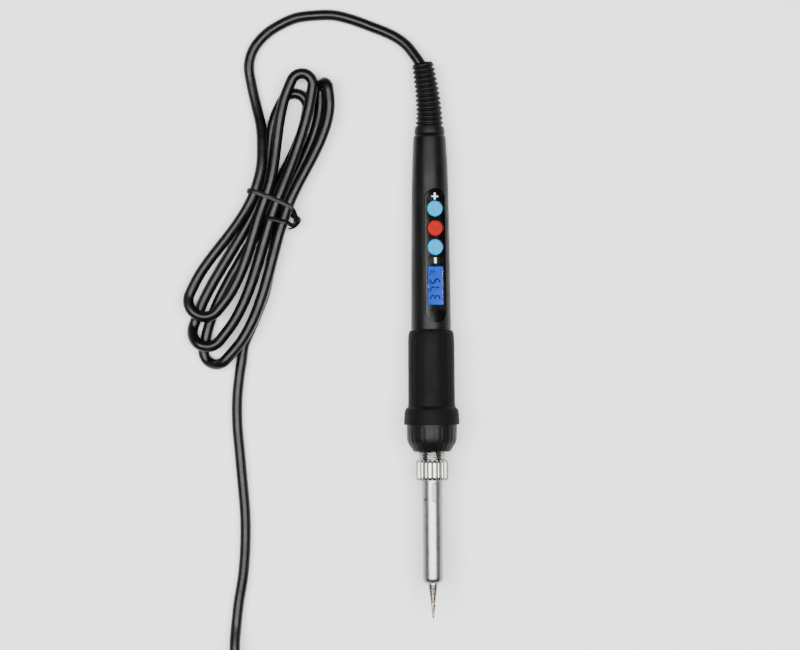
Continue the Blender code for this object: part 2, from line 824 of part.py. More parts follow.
SATIN_BLACK = paint("satin_black_plastic", (0.022, 0.022, 0.024), 0.38)
MOULDED_BLACK = paint("moulded_black_plastic", (0.018, 0.018, 0.019), 0.5)
GLOSS_BLACK = paint("gloss_black_panel", (0.008, 0.008, 0.010), 0.08)
RUBBER = paint("black_rubber", (0.016, 0.016, 0.017), 0.72)
CORD_BLACK = paint("black_cord", (0.012, 0.012, 0.013), 0.4)
TIE_BLACK = paint("black_tie", (0.010, 0.010, 0.011), 0.35)
PLUG_BLACK = paint("black_plug", (0.016, 0.016, 0.017), 0.42)
NICKEL = paint("nickel_plate", (0.70, 0.69, 0.66), 0.22, 1.0)
STEEL = paint("polished_steel", (0.60, 0.60, 0.61), 0.2, 1.0)
TINNED = paint("plated_tip", (0.66, 0.64, 0.58), 0.3, 1.0)
CERAMIC = paint("white_ceramic", (0.80, 0.79, 0.75), 0.5)
COPPER = paint("tinned_wire", (0.70, 0.55, 0.42), 0.35, 1.0)
CLEAR = paint("clear_lens", (0.80, 0.86, 0.95), 0.05)
LCD_BLUE = paint("backlit_blue", (0.02, 0.16, 0.85), 0.3)
CYAN = paint("cyan_button", (0.07, 0.58, 0.83), 0.35)
RED = paint("red_button", (0.60, 0.07, 0.07), 0.35)
BOARD_GREEN = paint("board_green", (0.02, 0.16, 0.06), 0.45)
WIRE_BROWN = paint("wire_brown", (0.10, 0.04, 0.02), 0.5)
WIRE_BLUE = paint("wire_blue", (0.02, 0.08, 0.35), 0.5)

IRON = frame_empty("iron_axis", (0, AXIS_SHIFT, AXIS_HEIGHT), (-TILT, 0, 0))
ROLL = frame_empty("panel_roll", (0, 0, 0), (0, PANEL_TURN, 0), IRON)
PANEL = frame_empty("panel_plane", (0, PANEL_STATION, PANEL_HEIGHT), (-PANEL_PITCH, 0, 0), ROLL)

make_handle(IRON, PANEL)
make_grip(IRON)
make_nose(IRON)
make_boot(IRON)
make_collar(IRON)
make_heater(IRON)
make_heater_leads(ROLL)
make_barrel(IRON)
make_tip(IRON)
make_nut(IRON)
make_panel(PANEL)
make_button("plus", BUTTONS[0][1], CYAN, PANEL)
make_button("power", BUTTONS[1][1], RED, PANEL)
make_button("minus", BUTTONS[2][1], CYAN, PANEL)
make_switches(ROLL)
make_board(ROLL)
make_cradle(ROLL)
make_board_screws(ROLL)
make_inner_lead(ROLL)
make_lead()
make_plug()
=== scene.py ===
"""A digital soldering iron with its mains lead tied in a hank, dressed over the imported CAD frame.

Lengths are in millimetres until a helper turns them into metres. Along the iron, a station is the distance
from the middle of its length: the lead's end is positive and the tip's end is negative.
"""

import json
import math

import bmesh
import bpy
import numpy as np
from mathutils import Matrix, Vector


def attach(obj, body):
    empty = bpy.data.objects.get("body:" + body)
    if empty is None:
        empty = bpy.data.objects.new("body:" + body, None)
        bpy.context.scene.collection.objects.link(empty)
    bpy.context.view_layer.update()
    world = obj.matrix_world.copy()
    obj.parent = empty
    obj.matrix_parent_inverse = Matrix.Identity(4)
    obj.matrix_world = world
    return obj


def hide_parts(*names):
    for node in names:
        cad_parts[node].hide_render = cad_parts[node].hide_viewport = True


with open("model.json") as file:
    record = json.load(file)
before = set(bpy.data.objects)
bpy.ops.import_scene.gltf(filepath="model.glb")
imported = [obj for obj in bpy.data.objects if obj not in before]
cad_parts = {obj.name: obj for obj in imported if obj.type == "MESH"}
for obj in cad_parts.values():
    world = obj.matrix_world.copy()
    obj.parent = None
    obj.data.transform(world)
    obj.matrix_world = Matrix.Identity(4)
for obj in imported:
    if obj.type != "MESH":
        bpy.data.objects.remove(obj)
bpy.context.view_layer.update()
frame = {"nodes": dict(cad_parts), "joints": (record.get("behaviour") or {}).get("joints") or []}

MM = 0.001

# ---------------- the frame's own axes
NUT_STATION = -54.5  # where nut_turn's own place is
nut_turn = next(joint for joint in frame["joints"] if joint["name"] == "nut_turn")
to_tip = Vector(nut_turn["axis"]).normalized()
middle = Vector(nut_turn["pos_m"]) + to_tip * NUT_STATION * MM
TILT = math.atan2(to_tip.z, -to_tip.y)
IRON = Matrix.Translation(middle) @ Matrix.Rotation(-TILT, 4, "X")

PANEL_TURN = math.radians(16.5)
PANEL_PITCH = math.radians(0.65)
PANEL_STATION = 35.05
PANEL_HEIGHT = 6.8
ROLL = IRON @ Matrix.Rotation(PANEL_TURN, 4, "Y")
PANEL = (
    ROLL
    @ Matrix.Translation((0, PANEL_STATION * MM, PANEL_HEIGHT * MM))
    @ Matrix.Rotation(-PANEL_PITCH, 4, "X")
)
PANEL_LENGTH = 55.8
PANEL_WIDTH = 8.6
PANEL_THICK = 0.9
POCKET_GAP = 0.3  # how much wider, longer and deeper than the panel its pocket is
WINDOW_WIDTH = 7.6
WINDOW_LENGTH = 54.0
BUTTONS = (("plus", 19.55), ("power", 11.35), ("minus", 3.45))
BUTTON_R = 3.3
SCREEN_CENTRE = -12.6
SCREEN_WIDTH = 6.6
SCREEN_LENGTH = 15.9

DRAWN_CORD_R = 2.32  # keeps the arch inside the frame, whose own curve is a little coarser


# ---------------- materials
class Finish:
    """A Principled material whose looks come from nodes in the piece's own coordinates."""

    def __init__(self, name, roughness=0.5, metallic=0.0, **sockets):
        self.material = bpy.data.materials.new(name)
        self.material.use_nodes = True
        self.tree = self.material.node_tree
        self.shader = self.tree.nodes["Principled BSDF"]
        self.shader.inputs["Roughness"].default_value = roughness
        self.shader.inputs["Metallic"].default_value = metallic
        for socket, value in sockets.items():
            self.shader.inputs[socket.replace("_", " ")].default_value = value
        self.where = self.tree.nodes.new("ShaderNodeTexCoord").outputs["Object"]
        self.normal = None

    def node(self, kind, inputs, **settings):
        made = self.tree.nodes.new(kind)
        for setting, value in settings.items():
            setattr(made, setting, value)
        for socket, value in inputs.items():
            if isinstance(value, bpy.types.NodeSocket):
                self.tree.links.new(value, made.inputs[socket])
            else:
                made.inputs[socket].default_value = value
        return made

    def stretched(self, stretch):
        return self.node("ShaderNodeMapping", {"Vector": self.where, "Scale": stretch}).outputs["Vector"]

    def noise(self, size, detail=3.0, stretch=None):
        """Noise with features of about one size in millimetres, drawn out where stretch is under 1."""
        where = self.stretched(stretch) if stretch else self.where
        inputs = {"Vector": where, "Scale": 1 / (size * MM), "Detail": detail}
        return self.node("ShaderNodeTexNoise", inputs).outputs["Fac"]

    def cells(self, size, feature="F1", stretch=None):
        """Distances in a pattern of cells of about one size in millimetres."""
        where = self.stretched(stretch) if stretch else self.where
        inputs = {"Vector": where, "Scale": 1 / (size * MM)}
        return self.node("ShaderNodeTexVoronoi", inputs, feature=feature).outputs["Distance"]

    def span(self, value, start, end, low, high):
        """A value's start..end taken to low..high, and held there."""
        inputs = {"Value": value, "From Min": start, "From Max": end, "To Min": low, "To Max": high}
        return self.node("ShaderNodeMapRange", inputs).outputs["Result"]

    def math(self, operation, a, b):
        return self.node("ShaderNodeMath", {0: a, 1: b}, operation=operation).outputs[0]

    def mix(self, share, a, b):
        """A share of the way from one colour to another, each a node's colour or three numbers."""
        made = self.node("ShaderNodeMix", {"Factor": share}, data_type="RGBA")
        for socket, value in ((6, a), (7, b)):
            if isinstance(value, bpy.types.NodeSocket):
                self.tree.links.new(value, made.inputs[socket])
            else:
                made.inputs[socket].default_value = (*value, 1.0)
        return made.outputs[2]

    def colour(self, value):
        self.tree.links.new(value, self.shader.inputs["Base Color"])
        return self

    def rough(self, value):
        self.tree.links.new(value, self.shader.inputs["Roughness"])
        return self

    def bump(self, height, depth):
        """Adds a bump whose height of 1 stands for depth in millimetres."""
        made = self.node("ShaderNodeBump", {"Height": height, "Strength": 1.0, "Distance": depth * MM})
        if self.normal:
            self.tree.links.new(self.normal, made.inputs["Normal"])
        self.normal = made.outputs["Normal"]
        self.tree.links.new(self.normal, self.shader.inputs["Normal"])
        return self

    def along(self, axis):
        """The piece's own coordinate along X, Y or Z, in metres."""
        return self.node("ShaderNodeSeparateXYZ", {"Vector": self.where}).outputs[axis]

    def edges(self):
        """1 on worn outer edges and 0 elsewhere."""
        sharp = self.tree.nodes.new("ShaderNodeNewGeometry").outputs["Pointiness"]
        return self.span(sharp, 0.52, 0.58, 0.0, 1.0)


def plastic(name, dark, light, roughness, grain=0.14, depth=0.006, spread=0.07, worn=0.35, **sockets):
    """Moulded plastic or rubber: a fine texture, a slight mottle, smudges in the gloss and paler edges."""
    made = Finish(name, roughness, **sockets)
    mottle = made.span(made.noise(6.0, 4.0), 0.35, 0.65, 0.0, 1.0)
    body = made.mix(mottle, dark, light)
    paler = tuple(min(1.0, channel * 1.8 + 0.004) for channel in light)
    scuff = made.math("MULTIPLY", made.edges(), made.span(made.noise(1.2, 5.0), 0.4, 0.62, 0.0, worn))
    made.colour(made.mix(scuff, body, paler))
    smudge = made.noise(9.0, 5.0)
    made.rough(made.span(smudge, 0.3, 0.7, roughness - spread, roughness + spread))
    made.bump(made.noise(grain, 2.0), depth)
    return made


def metal(name, tone, dull, roughness, stretch=(1.0, 1.0, 1.0), line=0.25, depth=0.0015, spread=0.06):
    """Plated or turned metal: fine lines left by tooling, faint stains and handling marks."""
    made = Finish(name, roughness, 1.0)
    stain = made.span(made.noise(4.0, 5.0), 0.42, 0.7, 0.0, 1.0)
    made.colour(made.mix(stain, tone, dull))
    lines = made.noise(line, 3.0, stretch)
    worn = made.span(made.noise(2.5, 4.0), 0.3, 0.7, roughness - spread, roughness + spread)
    made.rough(made.math("ADD", worn, made.span(lines, 0.3, 0.7, -0.03, 0.03)))
    made.bump(lines, depth)
    return made


ROUND_LINES = (0.02, 1.0, 0.02)  # lines that run round the iron's axis
HANDLE_PLASTIC = plastic(
    "handle_satin_black", (0.0018, 0.0018, 0.0019), (0.0026, 0.0026, 0.0027), 0.40,
    grain=0.16, depth=0.005, Specular_IOR_Level=0.15,
)  # fmt: skip
NOSE_PLASTIC = plastic(
    "nose_moulded_black", (0.0016, 0.0016, 0.0017), (0.0024, 0.0024, 0.0025), 0.46,
    grain=0.2, depth=0.006, Specular_IOR_Level=0.14,
)  # fmt: skip
MOULDED_BLACK = plastic("inner_moulded_black", (0.011, 0.011, 0.012), (0.018, 0.018, 0.019), 0.5, 0.25, 0.008)
GRIP_RUBBER = plastic(
    "grip_matte_rubber", (0.0016, 0.0016, 0.0017), (0.0025, 0.0025, 0.0026), 0.62,
    grain=0.22, depth=0.010, spread=0.06, Specular_IOR_Level=0.08,
)  # fmt: skip
BOOT_RUBBER = plastic(
    "boot_rubber", (0.0014, 0.0014, 0.0015), (0.0022, 0.0022, 0.0023), 0.46,
    grain=0.25, depth=0.01, spread=0.06, Specular_IOR_Level=0.15,
)  # fmt: skip
PLUG_PLASTIC = plastic(
    "plug_moulded_pvc", (0.0032, 0.0032, 0.0034), (0.0050, 0.0050, 0.0052), 0.42,
    grain=0.3, depth=0.01, Specular_IOR_Level=0.18,
)  # fmt: skip
TIE_PLASTIC = plastic(
    "tie_plastic", (0.0025, 0.0025, 0.0026), (0.0040, 0.0040, 0.0041), 0.36,
    grain=0.3, depth=0.006, Specular_IOR_Level=0.16,
)  # fmt: skip
NICKEL = metal(
    "nickel_plate", (0.37, 0.363, 0.35), (0.29, 0.282, 0.264), 0.2, ROUND_LINES, 0.12, 0.0008, 0.03
)
PIN_NICKEL = metal("pin_nickel", (0.72, 0.71, 0.68), (0.58, 0.57, 0.52), 0.2, ROUND_LINES, 0.2)
STEEL = metal(
    "barrel_steel", (0.27, 0.27, 0.277), (0.21, 0.208, 0.205), 0.31, ROUND_LINES, 0.18, 0.0006, 0.03
)
WIRE = metal("tinned_wire", (0.72, 0.66, 0.58), (0.60, 0.52, 0.42), 0.3)


def cord_finish():
    """Black PVC jacket: a satin gloss, a faint ripple from the cores inside and fine pores."""
    made = Finish("lead_black_pvc", 0.3, Specular_IOR_Level=0.22)
    mottle = made.span(made.noise(8.0, 4.0), 0.35, 0.65, 0.0, 1.0)
    made.colour(made.mix(mottle, (0.0012, 0.0012, 0.0013), (0.0020, 0.0020, 0.0021)))
    made.rough(made.span(made.noise(5.0, 5.0), 0.3, 0.7, 0.24, 0.38))
    made.bump(made.noise(2.2, 2.0), 0.05)
    made.bump(made.noise(0.25, 2.0), 0.006)
    return made


TINNING_START = -105.5
TINNING_FULL = -108.5
TINNING_RAGGED = 1.5  # how far the edge of the tinning wanders either way


def tip_finish():
    """Iron plating that turns to tinned, slightly golden solder towards the point."""
    made = Finish("tip_plating", 0.24, 1.0)
    station = made.along("Y")
    ragged = made.math("MULTIPLY_ADD", made.noise(1.5, 4.0), 2 * TINNING_RAGGED * MM)
    ragged.node.inputs[2].default_value = -TINNING_RAGGED * MM
    here = made.math("ADD", station, ragged)
    tinned = made.span(here, TINNING_START * MM, TINNING_FULL * MM, 0.0, 1.0)
    stain = made.span(made.noise(2.0, 4.0), 0.35, 0.65, 0, 1)
    plated = made.mix(stain, (0.36, 0.36, 0.37), (0.27, 0.27, 0.28))
    burn = made.span(made.noise(1.0, 3.0), 0.35, 0.65, 0, 1)
    golden = made.mix(burn, (0.58, 0.49, 0.28), (0.46, 0.42, 0.34))
    made.colour(made.mix(tinned, plated, golden))
    made.rough(made.span(made.noise(0.8, 4.0), 0.3, 0.7, 0.16, 0.34))
    made.bump(made.noise(0.18, 3.0, ROUND_LINES), 0.002)
    made.bump(made.math("MULTIPLY", made.noise(0.9, 2.0), tinned), 0.04)
    return made


def gloss_finish():
    """The fascia's polished acrylic, with hairline scratches and finger marks in its gloss."""
    made = Finish("fascia_gloss_black", 0.05, Specular_IOR_Level=0.2)
    made.colour(made.mix(made.noise(7.0, 4.0), (0.0008, 0.0008, 0.0009), (0.0014, 0.0014, 0.0016)))
    made.rough(made.span(made.noise(5.0, 6.0), 0.45, 0.75, 0.03, 0.08))
    made.bump(made.noise(0.5, 2.0, (1.0, 0.03, 1.0)), 0.0001)
    return made


def paint_finish(name, dark, light, roughness=0.42, **sockets):
    """Silicone, print, ceramic or a wire's jacket: an even colour with a slight grain."""
    made = Finish(name, roughness, **sockets)
    made.colour(made.mix(made.span(made.noise(1.4, 4.0), 0.35, 0.65, 0, 1), dark, light))
    made.rough(made.span(made.noise(2.5, 4.0), 0.3, 0.7, roughness - 0.08, roughness + 0.08))
    made.bump(made.noise(0.18, 2.0), 0.008)
    return made


def lit_finish(name, dark, light, glow):
    """A lit display colour, a little uneven from place to place."""
    made = Finish(name, 0.3, Emission_Strength=glow, Specular_IOR_Level=0.1)
    across = made.span(made.noise(5.0, 3.0), 0.3, 0.7, 0.0, 1.0)
    tone = made.mix(across, dark, light)
    made.colour(tone)
    made.tree.links.new(tone, made.shader.inputs["Emission Color"])
    made.rough(made.span(made.noise(1.0, 3.0), 0.3, 0.7, 0.25, 0.4))
    made.bump(made.noise(0.3, 2.0), 0.002)
    return made


def board_finish():
    """Solder mask over copper tracks, with tinned pads."""
    made = Finish("board_solder_mask", 0.35)
    track = made.span(made.cells(2.4, "DISTANCE_TO_EDGE", (1.0, 0.35, 1.0)), 0.05, 0.09, 1.0, 0.0)
    mask = made.mix(track, (0.008, 0.085, 0.03), (0.02, 0.16, 0.06))
    pad = made.span(made.cells(3.1), 0.10, 0.13, 1.0, 0.0)
    made.colour(made.mix(pad, mask, (0.62, 0.60, 0.55)))
    made.tree.links.new(pad, made.shader.inputs["Metallic"])
    made.rough(made.span(made.noise(3.0, 4.0), 0.3, 0.7, 0.28, 0.42))
    made.bump(track, 0.03)
    return made


CORD_PVC = cord_finish()
TIP_PLATING = tip_finish()
FASCIA_GLOSS = gloss_finish()
BOARD_GREEN = board_finish()
BUTTON_CYAN = paint_finish(
    "button_cyan_silicone", (0.0008, 0.25, 0.50), (0.0012, 0.29, 0.57), 0.55, Specular_IOR_Level=0.06
)
BUTTON_RED = paint_finish(
    "button_red_silicone", (0.27, 0.007, 0.006), (0.32, 0.009, 0.008), 0.55, Specular_IOR_Level=0.06
)
WHITE_PRINT = paint_finish("white_print", (0.80, 0.80, 0.80), (0.88, 0.88, 0.88), 0.5)
LCD_BLUE = lit_finish("lcd_backlit_blue", (0.002, 0.050, 0.42), (0.003, 0.066, 0.50), 0.45)
LCD_DARK = lit_finish("lcd_segment_blue", (0.001, 0.004, 0.045), (0.001, 0.006, 0.060), 0.1)
CERAMIC = paint_finish("heater_ceramic", (0.70, 0.68, 0.62), (0.82, 0.80, 0.76), 0.55)
CORE_BROWN = paint_finish("core_brown", (0.07, 0.028, 0.014), (0.10, 0.04, 0.02), 0.4)
CORE_BLUE = paint_finish("core_blue", (0.012, 0.06, 0.28), (0.02, 0.09, 0.36), 0.4)


def lens_finish():
    """The display's clear window, with a faint uneven gloss."""
    made = Finish("display_clear_lens", 0.01, Transmission_Weight=1.0, IOR=1.46, Specular_IOR_Level=0.2)
    made.colour(made.mix(made.noise(4.0, 3.0), (0.97, 0.98, 1.0), (0.99, 1.0, 1.0)))
    made.rough(made.span(made.noise(3.0, 5.0), 0.5, 0.8, 0.0, 0.02))
    made.bump(made.noise(1.5, 2.0), 0.00002)
    return made


LENS_CLEAR = lens_finish()


# ---------------- shape helpers
def shade(mesh, angle=32.0):
    """Smooth shading, apart from edges sharper than an angle."""
    mesh.shade_smooth()
    mesh.set_sharp_from_angle(angle=math.radians(angle))


def solid(name, mesh, matrix, finish, body, replaced=()):
    """Puts a finished mesh in its frame, as a piece that rides on a body."""
    thing = bpy.data.objects.new(name, mesh)
    bpy.context.scene.collection.objects.link(thing)
    thing.matrix_world = matrix
    if not mesh.materials:
        mesh.materials.append(finish.material)
    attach(thing, body)
    if replaced:
        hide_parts(*replaced)
    return thing


def loft(name, rings, caps=True, wrap=False, angle=32.0):
    """A closed mesh through rings of equally many points in millimetres. Points that meet are merged."""
    rings = np.asarray(rings, dtype=float)
    count, size = rings.shape[:2]
    faces = []
    for i in range(count if wrap else count - 1):
        below = i * size
        above = (i + 1) % count * size
        for j in range(size):
            k = (j + 1) % size
            faces.append((below + j, below + k, above + k, above + j))
    if caps and not wrap:
        faces.append(tuple(range(size)))
        faces.append(tuple(range((count - 1) * size, count * size)))
    mesh = bpy.data.meshes.new(name)
    mesh.from_pydata((rings.reshape(-1, 3) * MM).tolist(), [], faces)
    shape = bmesh.new()
    shape.from_mesh(mesh)
    bmesh.ops.remove_doubles(shape, verts=shape.verts, dist=0.000001)
    bmesh.ops.dissolve_degenerate(shape, edges=shape.edges, dist=0.0000001)
    bmesh.ops.recalc_face_normals(shape, faces=shape.faces)
    shape.to_mesh(mesh)
    shape.free()
    shade(mesh, angle)
    return mesh


def soften(profile, fine=4, closed=True):
    """Rounds the corners of a profile of (radius, station, fillet) points; a pair is a sharp corner."""
    points = []
    count = len(profile)
    for i, corner in enumerate(profile):
        here = np.array(corner[:2], dtype=float)
        fillet = corner[2] if len(corner) > 2 else 0.0
        at_end = not closed and i in (0, count - 1)
        if not fillet or at_end:
            points.append(tuple(here))
            continue
        before = np.array(profile[i - 1][:2], dtype=float)
        after = np.array(profile[(i + 1) % count][:2], dtype=float)
        reach_in = min(fillet, 0.48 * np.linalg.norm(before - here))
        reach_out = min(fillet, 0.48 * np.linalg.norm(after - here))
        start = here + (before - here) / np.linalg.norm(before - here) * reach_in
        end = here + (after - here) / np.linalg.norm(after - here) * reach_out
        for step in range(fine + 1):
            t = step / fine
            points.append(tuple((1 - t) ** 2 * start + 2 * t * (1 - t) * here + t**2 * end))
    return points


def dense(profile, spacing, closed=True):
    """Adds points so that no stretch of a profile is longer than a spacing."""
    points = []
    ends = profile[1:] + profile[:1] if closed else profile[1:]
    for (r0, s0), (r1, s1) in zip(profile, ends):
        steps = max(1, math.ceil(math.hypot(r1 - r0, s1 - s0) / spacing))
        points += [(r0 + (r1 - r0) * i / steps, s0 + (s1 - s0) * i / steps) for i in range(steps)]
    return points if closed else points + [profile[-1]]


def lathe(name, profile, steps=96, relief=None, closed=True, angle=32.0, around="Y"):
    """Turns a profile about the frame's Y or Z. relief(angles, station, radius) gives each ring's radii."""
    turns = np.arange(steps) * 2 * math.pi / steps
    rings = []
    for radius, station in profile:
        radii = relief(turns, station, radius) if relief else np.full(steps, radius)
        side = radii * np.sin(turns)
        other = radii * np.cos(turns)
        level = np.full(steps, station)
        rings.append(np.stack([side, level, other] if around == "Y" else [side, other, level], axis=1))
    return loft(name, rings, caps=False, wrap=closed, angle=angle)


def smooth_points(route, spacing):
    """Points at one spacing along a smooth curve through a route's own points."""
    knots = np.array(route, dtype=float)
    knots = np.vstack([2 * knots[0] - knots[1], knots, 2 * knots[-1] - knots[-2]])
    fine = []
    for p0, p1, p2, p3 in zip(knots, knots[1:], knots[2:], knots[3:]):
        for t in np.arange(16) / 16:
            square = 2 * p0 - 5 * p1 + 4 * p2 - p3
            cube = 3 * p1 - p0 - 3 * p2 + p3
            fine.append(p1 + (p2 - p0) * t / 2 + square * t**2 / 2 + cube * t**3 / 2)
    fine = np.array([*fine, knots[-2]])
    lengths = np.concatenate([[0.0], np.cumsum(np.linalg.norm(np.diff(fine, axis=0), axis=1))])
    marks = np.linspace(0.0, lengths[-1], max(2, round(lengths[-1] / spacing) + 1))
    return np.stack([np.interp(marks, lengths, fine[:, axis]) for axis in range(3)], axis=1)


def sweep(points, section):
    """Rings of one (across, up) section along a path, carried along it without twist."""
    points = np.asarray(points, dtype=float)
    tangents = np.gradient(points, axis=0)
    tangents /= np.linalg.norm(tangents, axis=1)[:, None]
    up = np.array([0.0, 0.0, 1.0])
    rings = []
    across, above = np.asarray(section, dtype=float).T
    for point, tangent in zip(points, tangents):
        up = up - tangent * np.dot(up, tangent)
        up /= np.linalg.norm(up)
        side = np.cross(tangent, up)
        rings.append(point + across[:, None] * side + above[:, None] * up)
    return rings


def ellipse(wide, high, count=16, power=1.0):
    """A ring of points: an ellipse, or with a power under 1 a rounder-cornered box."""
    turns = np.arange(count) * 2 * math.pi / count
    across, up = np.cos(turns), np.sin(turns)
    x = wide * np.sign(across) * np.abs(across) ** power
    y = high * np.sign(up) * np.abs(up) ** power
    return np.stack([x, y], axis=1)


def arc(x, y, radius, start, end, count):
    """Points on an arc, with its angles in degrees."""
    angles = [math.radians(start + (end - start) * i / (count - 1)) for i in range(count)]
    return [(x + radius * math.cos(a), y + radius * math.sin(a)) for a in angles]


def stadium(width, length, count=24):
    """A stadium along Y: two straight sides and two round ends."""
    radius = width / 2
    reach = length / 2 - radius
    return arc(0, reach, radius, 0, 180, count) + arc(0, -reach, radius, 180, 360, count)


def rectangle(width, length, corner, x=0.0, y=0.0, count=6):
    """A rectangle with round corners about a middle."""
    dx = width / 2 - corner
    dy = length / 2 - corner
    points = []
    for cx, cy, start in ((dx, dy, 0), (-dx, dy, 90), (-dx, -dy, 180), (dx, -dy, 270)):
        points += arc(x + cx, y + cy, corner, start, start + 90, count)
    return points


FLAT_EDGE = 12.0  # keeps a flat face's shading apart from its rounded edge


def plate(name, loops, top, bottom, edge=0.0):
    """A flat plate between two heights with rounded edges, its first loop outside and the others holes."""
    curve = bpy.data.curves.new(name, "CURVE")
    curve.dimensions = "2D"
    curve.fill_mode = "BOTH"
    curve.extrude = ((top - bottom) / 2 - edge) * MM
    curve.bevel_depth = edge * MM
    curve.bevel_resolution = 2
    curve.offset = -edge * MM
    curve.resolution_u = 1
    for loop in loops:
        spline = curve.splines.new("POLY")
        spline.points.add(len(loop) - 1)
        spline.use_cyclic_u = True
        for point, (x, y) in zip(spline.points, loop):
            point.co = (x * MM, y * MM, 0.0, 1.0)
    thing = bpy.data.objects.new(name, curve)
    bpy.context.scene.collection.objects.link(thing)
    bpy.context.view_layer.update()
    mesh = bpy.data.meshes.new_from_object(thing.evaluated_get(bpy.context.evaluated_depsgraph_get()))
    bpy.data.objects.remove(thing)
    shape = bmesh.new()
    shape.from_mesh(mesh)
    bmesh.ops.remove_doubles(shape, verts=shape.verts, dist=0.000001)
    bmesh.ops.translate(shape, vec=(0, 0, (top + bottom) / 2 * MM), verts=shape.verts)
    bmesh.ops.recalc_face_normals(shape, faces=shape.faces)
    shape.to_mesh(mesh)
    shape.free()
    mesh.name = name
    mesh.materials.clear()
    shade(mesh, FLAT_EDGE)
    return mesh


def shaped(mesh, tool_mesh, operation="DIFFERENCE", matrix=Matrix.Identity(4), angle=32.0):
    """Cuts a mesh with another that lies at a matrix, or joins it on."""
    target = bpy.data.objects.new("shaped_piece", mesh)
    tool = bpy.data.objects.new("shaping_tool", tool_mesh)
    for thing in (target, tool):
        bpy.context.scene.collection.objects.link(thing)
    tool.matrix_world = matrix
    change = target.modifiers.new("Change", "BOOLEAN")
    change.operation = operation
    change.object = tool
    bpy.context.view_layer.update()
    made = bpy.data.meshes.new_from_object(target.evaluated_get(bpy.context.evaluated_depsgraph_get()))
    made.name = mesh.name
    for thing in (target, tool):
        bpy.data.objects.remove(thing)
    shade(made, angle)
    return made


def joined(meshes, name):
    """Several meshes as one, each keeping its own closed bodies."""
    shape = bmesh.new()
    for mesh in meshes:
        shape.from_mesh(mesh)
    made = bpy.data.meshes.new(name)
    shape.to_mesh(made)
    shape.free()
    shade(made)
    return made


# ---------------- camera, floor and light
VIEW_CENTRE = (-13.0, 6.0)
VIEW_WIDTH = 336.0
VIEW_ROLL = math.radians(0.42)
FOCUS_HEIGHT = 8.0
LENS = 100.0
SENSOR = 36.0
FLOOR_DROP = 0.0002  # below the object, in metres, so that no face lies in the floor's
# Each light's place, its size and its power, in metres and watts.
LIGHTS = (
    ("softbox_top", (-0.06, 0.0, 1.15), (0.66, 1.7), 50.0),
    ("fill_left", (-1.9, 0.0, 0.5), (0.3, 1.6), 1.5),
    ("fill_right", (1.9, 0.0, 0.5), (0.3, 1.6), 1.5),
)
WORLD_STRENGTH = 0.08


def make_camera():
    """The camera straight above the object, a little rolled."""
    data = bpy.data.cameras.new("camera")
    data.lens = LENS
    data.sensor_width = SENSOR
    data.clip_start = 0.01
    data.clip_end = 20.0
    camera = bpy.data.objects.new("camera", data)
    bpy.context.scene.collection.objects.link(camera)
    height = FOCUS_HEIGHT + VIEW_WIDTH * LENS / SENSOR
    camera.location = Vector((*VIEW_CENTRE, height)) * MM
    camera.rotation_euler = (0, 0, -VIEW_ROLL)
    bpy.context.scene.camera = camera


def make_floor():
    mesh = bpy.data.meshes.new("floor")
    shape = bmesh.new()
    bmesh.ops.create_grid(shape, x_segments=2, y_segments=2, size=4.0)
    shape.to_mesh(mesh)
    shape.free()
    floor = bpy.data.objects.new("floor", mesh)
    floor.location = (0, 0, -FLOOR_DROP)
    bpy.context.scene.collection.objects.link(floor)
    paper = Finish("pale_floor", 0.85, Specular_IOR_Level=0.15)
    paper.colour(paper.mix(paper.noise(90.0, 3.0), (0.93, 0.93, 0.93), (0.95, 0.95, 0.95)))
    paper.rough(paper.span(paper.noise(40.0, 3.0), 0.3, 0.7, 0.8, 0.9))
    mesh.materials.append(paper.material)


def make_lights():
    for name, place, size, power in LIGHTS:
        lamp = bpy.data.lights.new(name, "AREA")
        lamp.shape = "RECTANGLE"
        lamp.size, lamp.size_y = size
        lamp.energy = power
        light = bpy.data.objects.new(name, lamp)
        light.location = place
        light.rotation_euler = (-Vector(place)).to_track_quat("-Z", "Y").to_euler()
        bpy.context.scene.collection.objects.link(light)

    world = bpy.data.worlds.new("studio")
    world.use_nodes = True
    sky = world.node_tree.nodes["Background"]
    sky.inputs["Color"].default_value = (0.97, 0.98, 1.0, 1.0)
    sky.inputs["Strength"].default_value = WORLD_STRENGTH
    bpy.context.scene.world = world


# ---------------- the lead, its tie and its plug
# The lead's route, (x, y, height of its centre): inside the boot, then round the arch to the hank.
ARCH_ROUTE = (
    (-1.4, 111, 6.2), (-3.7, 116, 5.8), (-6, 119.5, 5.2), (-9.5, 124, 4.3), (-14, 127.5, 3.4),
    (-19, 130, 2.8), (-24, 132, 2.5), (-32, 135, 2.5), (-40, 137, 2.5), (-48, 137, 2.5), (-56, 136, 2.5),
    (-63, 133, 2.5), (-69, 129, 2.5), (-74, 123, 2.5), (-76, 116, 2.5), (-75, 108, 2.5), (-73, 99, 3.1),
    (-71, 90, 4.8), (-70.5, 81, 6.6), (-71, 72, 7.8),
)
# From the hank, under its right side and down to the plug.
TAIL_ROUTE = (
    (-64, 47, 2.8), (-66, 38, 2.5), (-68, 29, 2.5), (-70, 20, 2.5), (-73, 12, 2.5), (-76, 5, 2.5),
    (-79, -2, 2.5), (-80, -9, 2.5), (-81, -15, 2.5), (-82, -25, 2.5), (-82, -36, 2.5), (-81, -48, 2.5),
    (-80, -60, 2.5), (-79, -73, 2.5), (-79, -86, 2.5), (-80, -99, 2.5), (-82, -111, 2.5), (-83, -120, 3.4),
    (-83.5, -127, 5.4), (-83.5, -133, 6.7), (-83.5, -140, 6.85),
)
WAIST = (-66.7, 59.1)
WAIST_LEAN = math.radians(21.3)
WAIST_PITCH = 5.1  # between the strands side by side at the waist
LOWER_LAYER = 3.6
UPPER_LAYER = 8.3
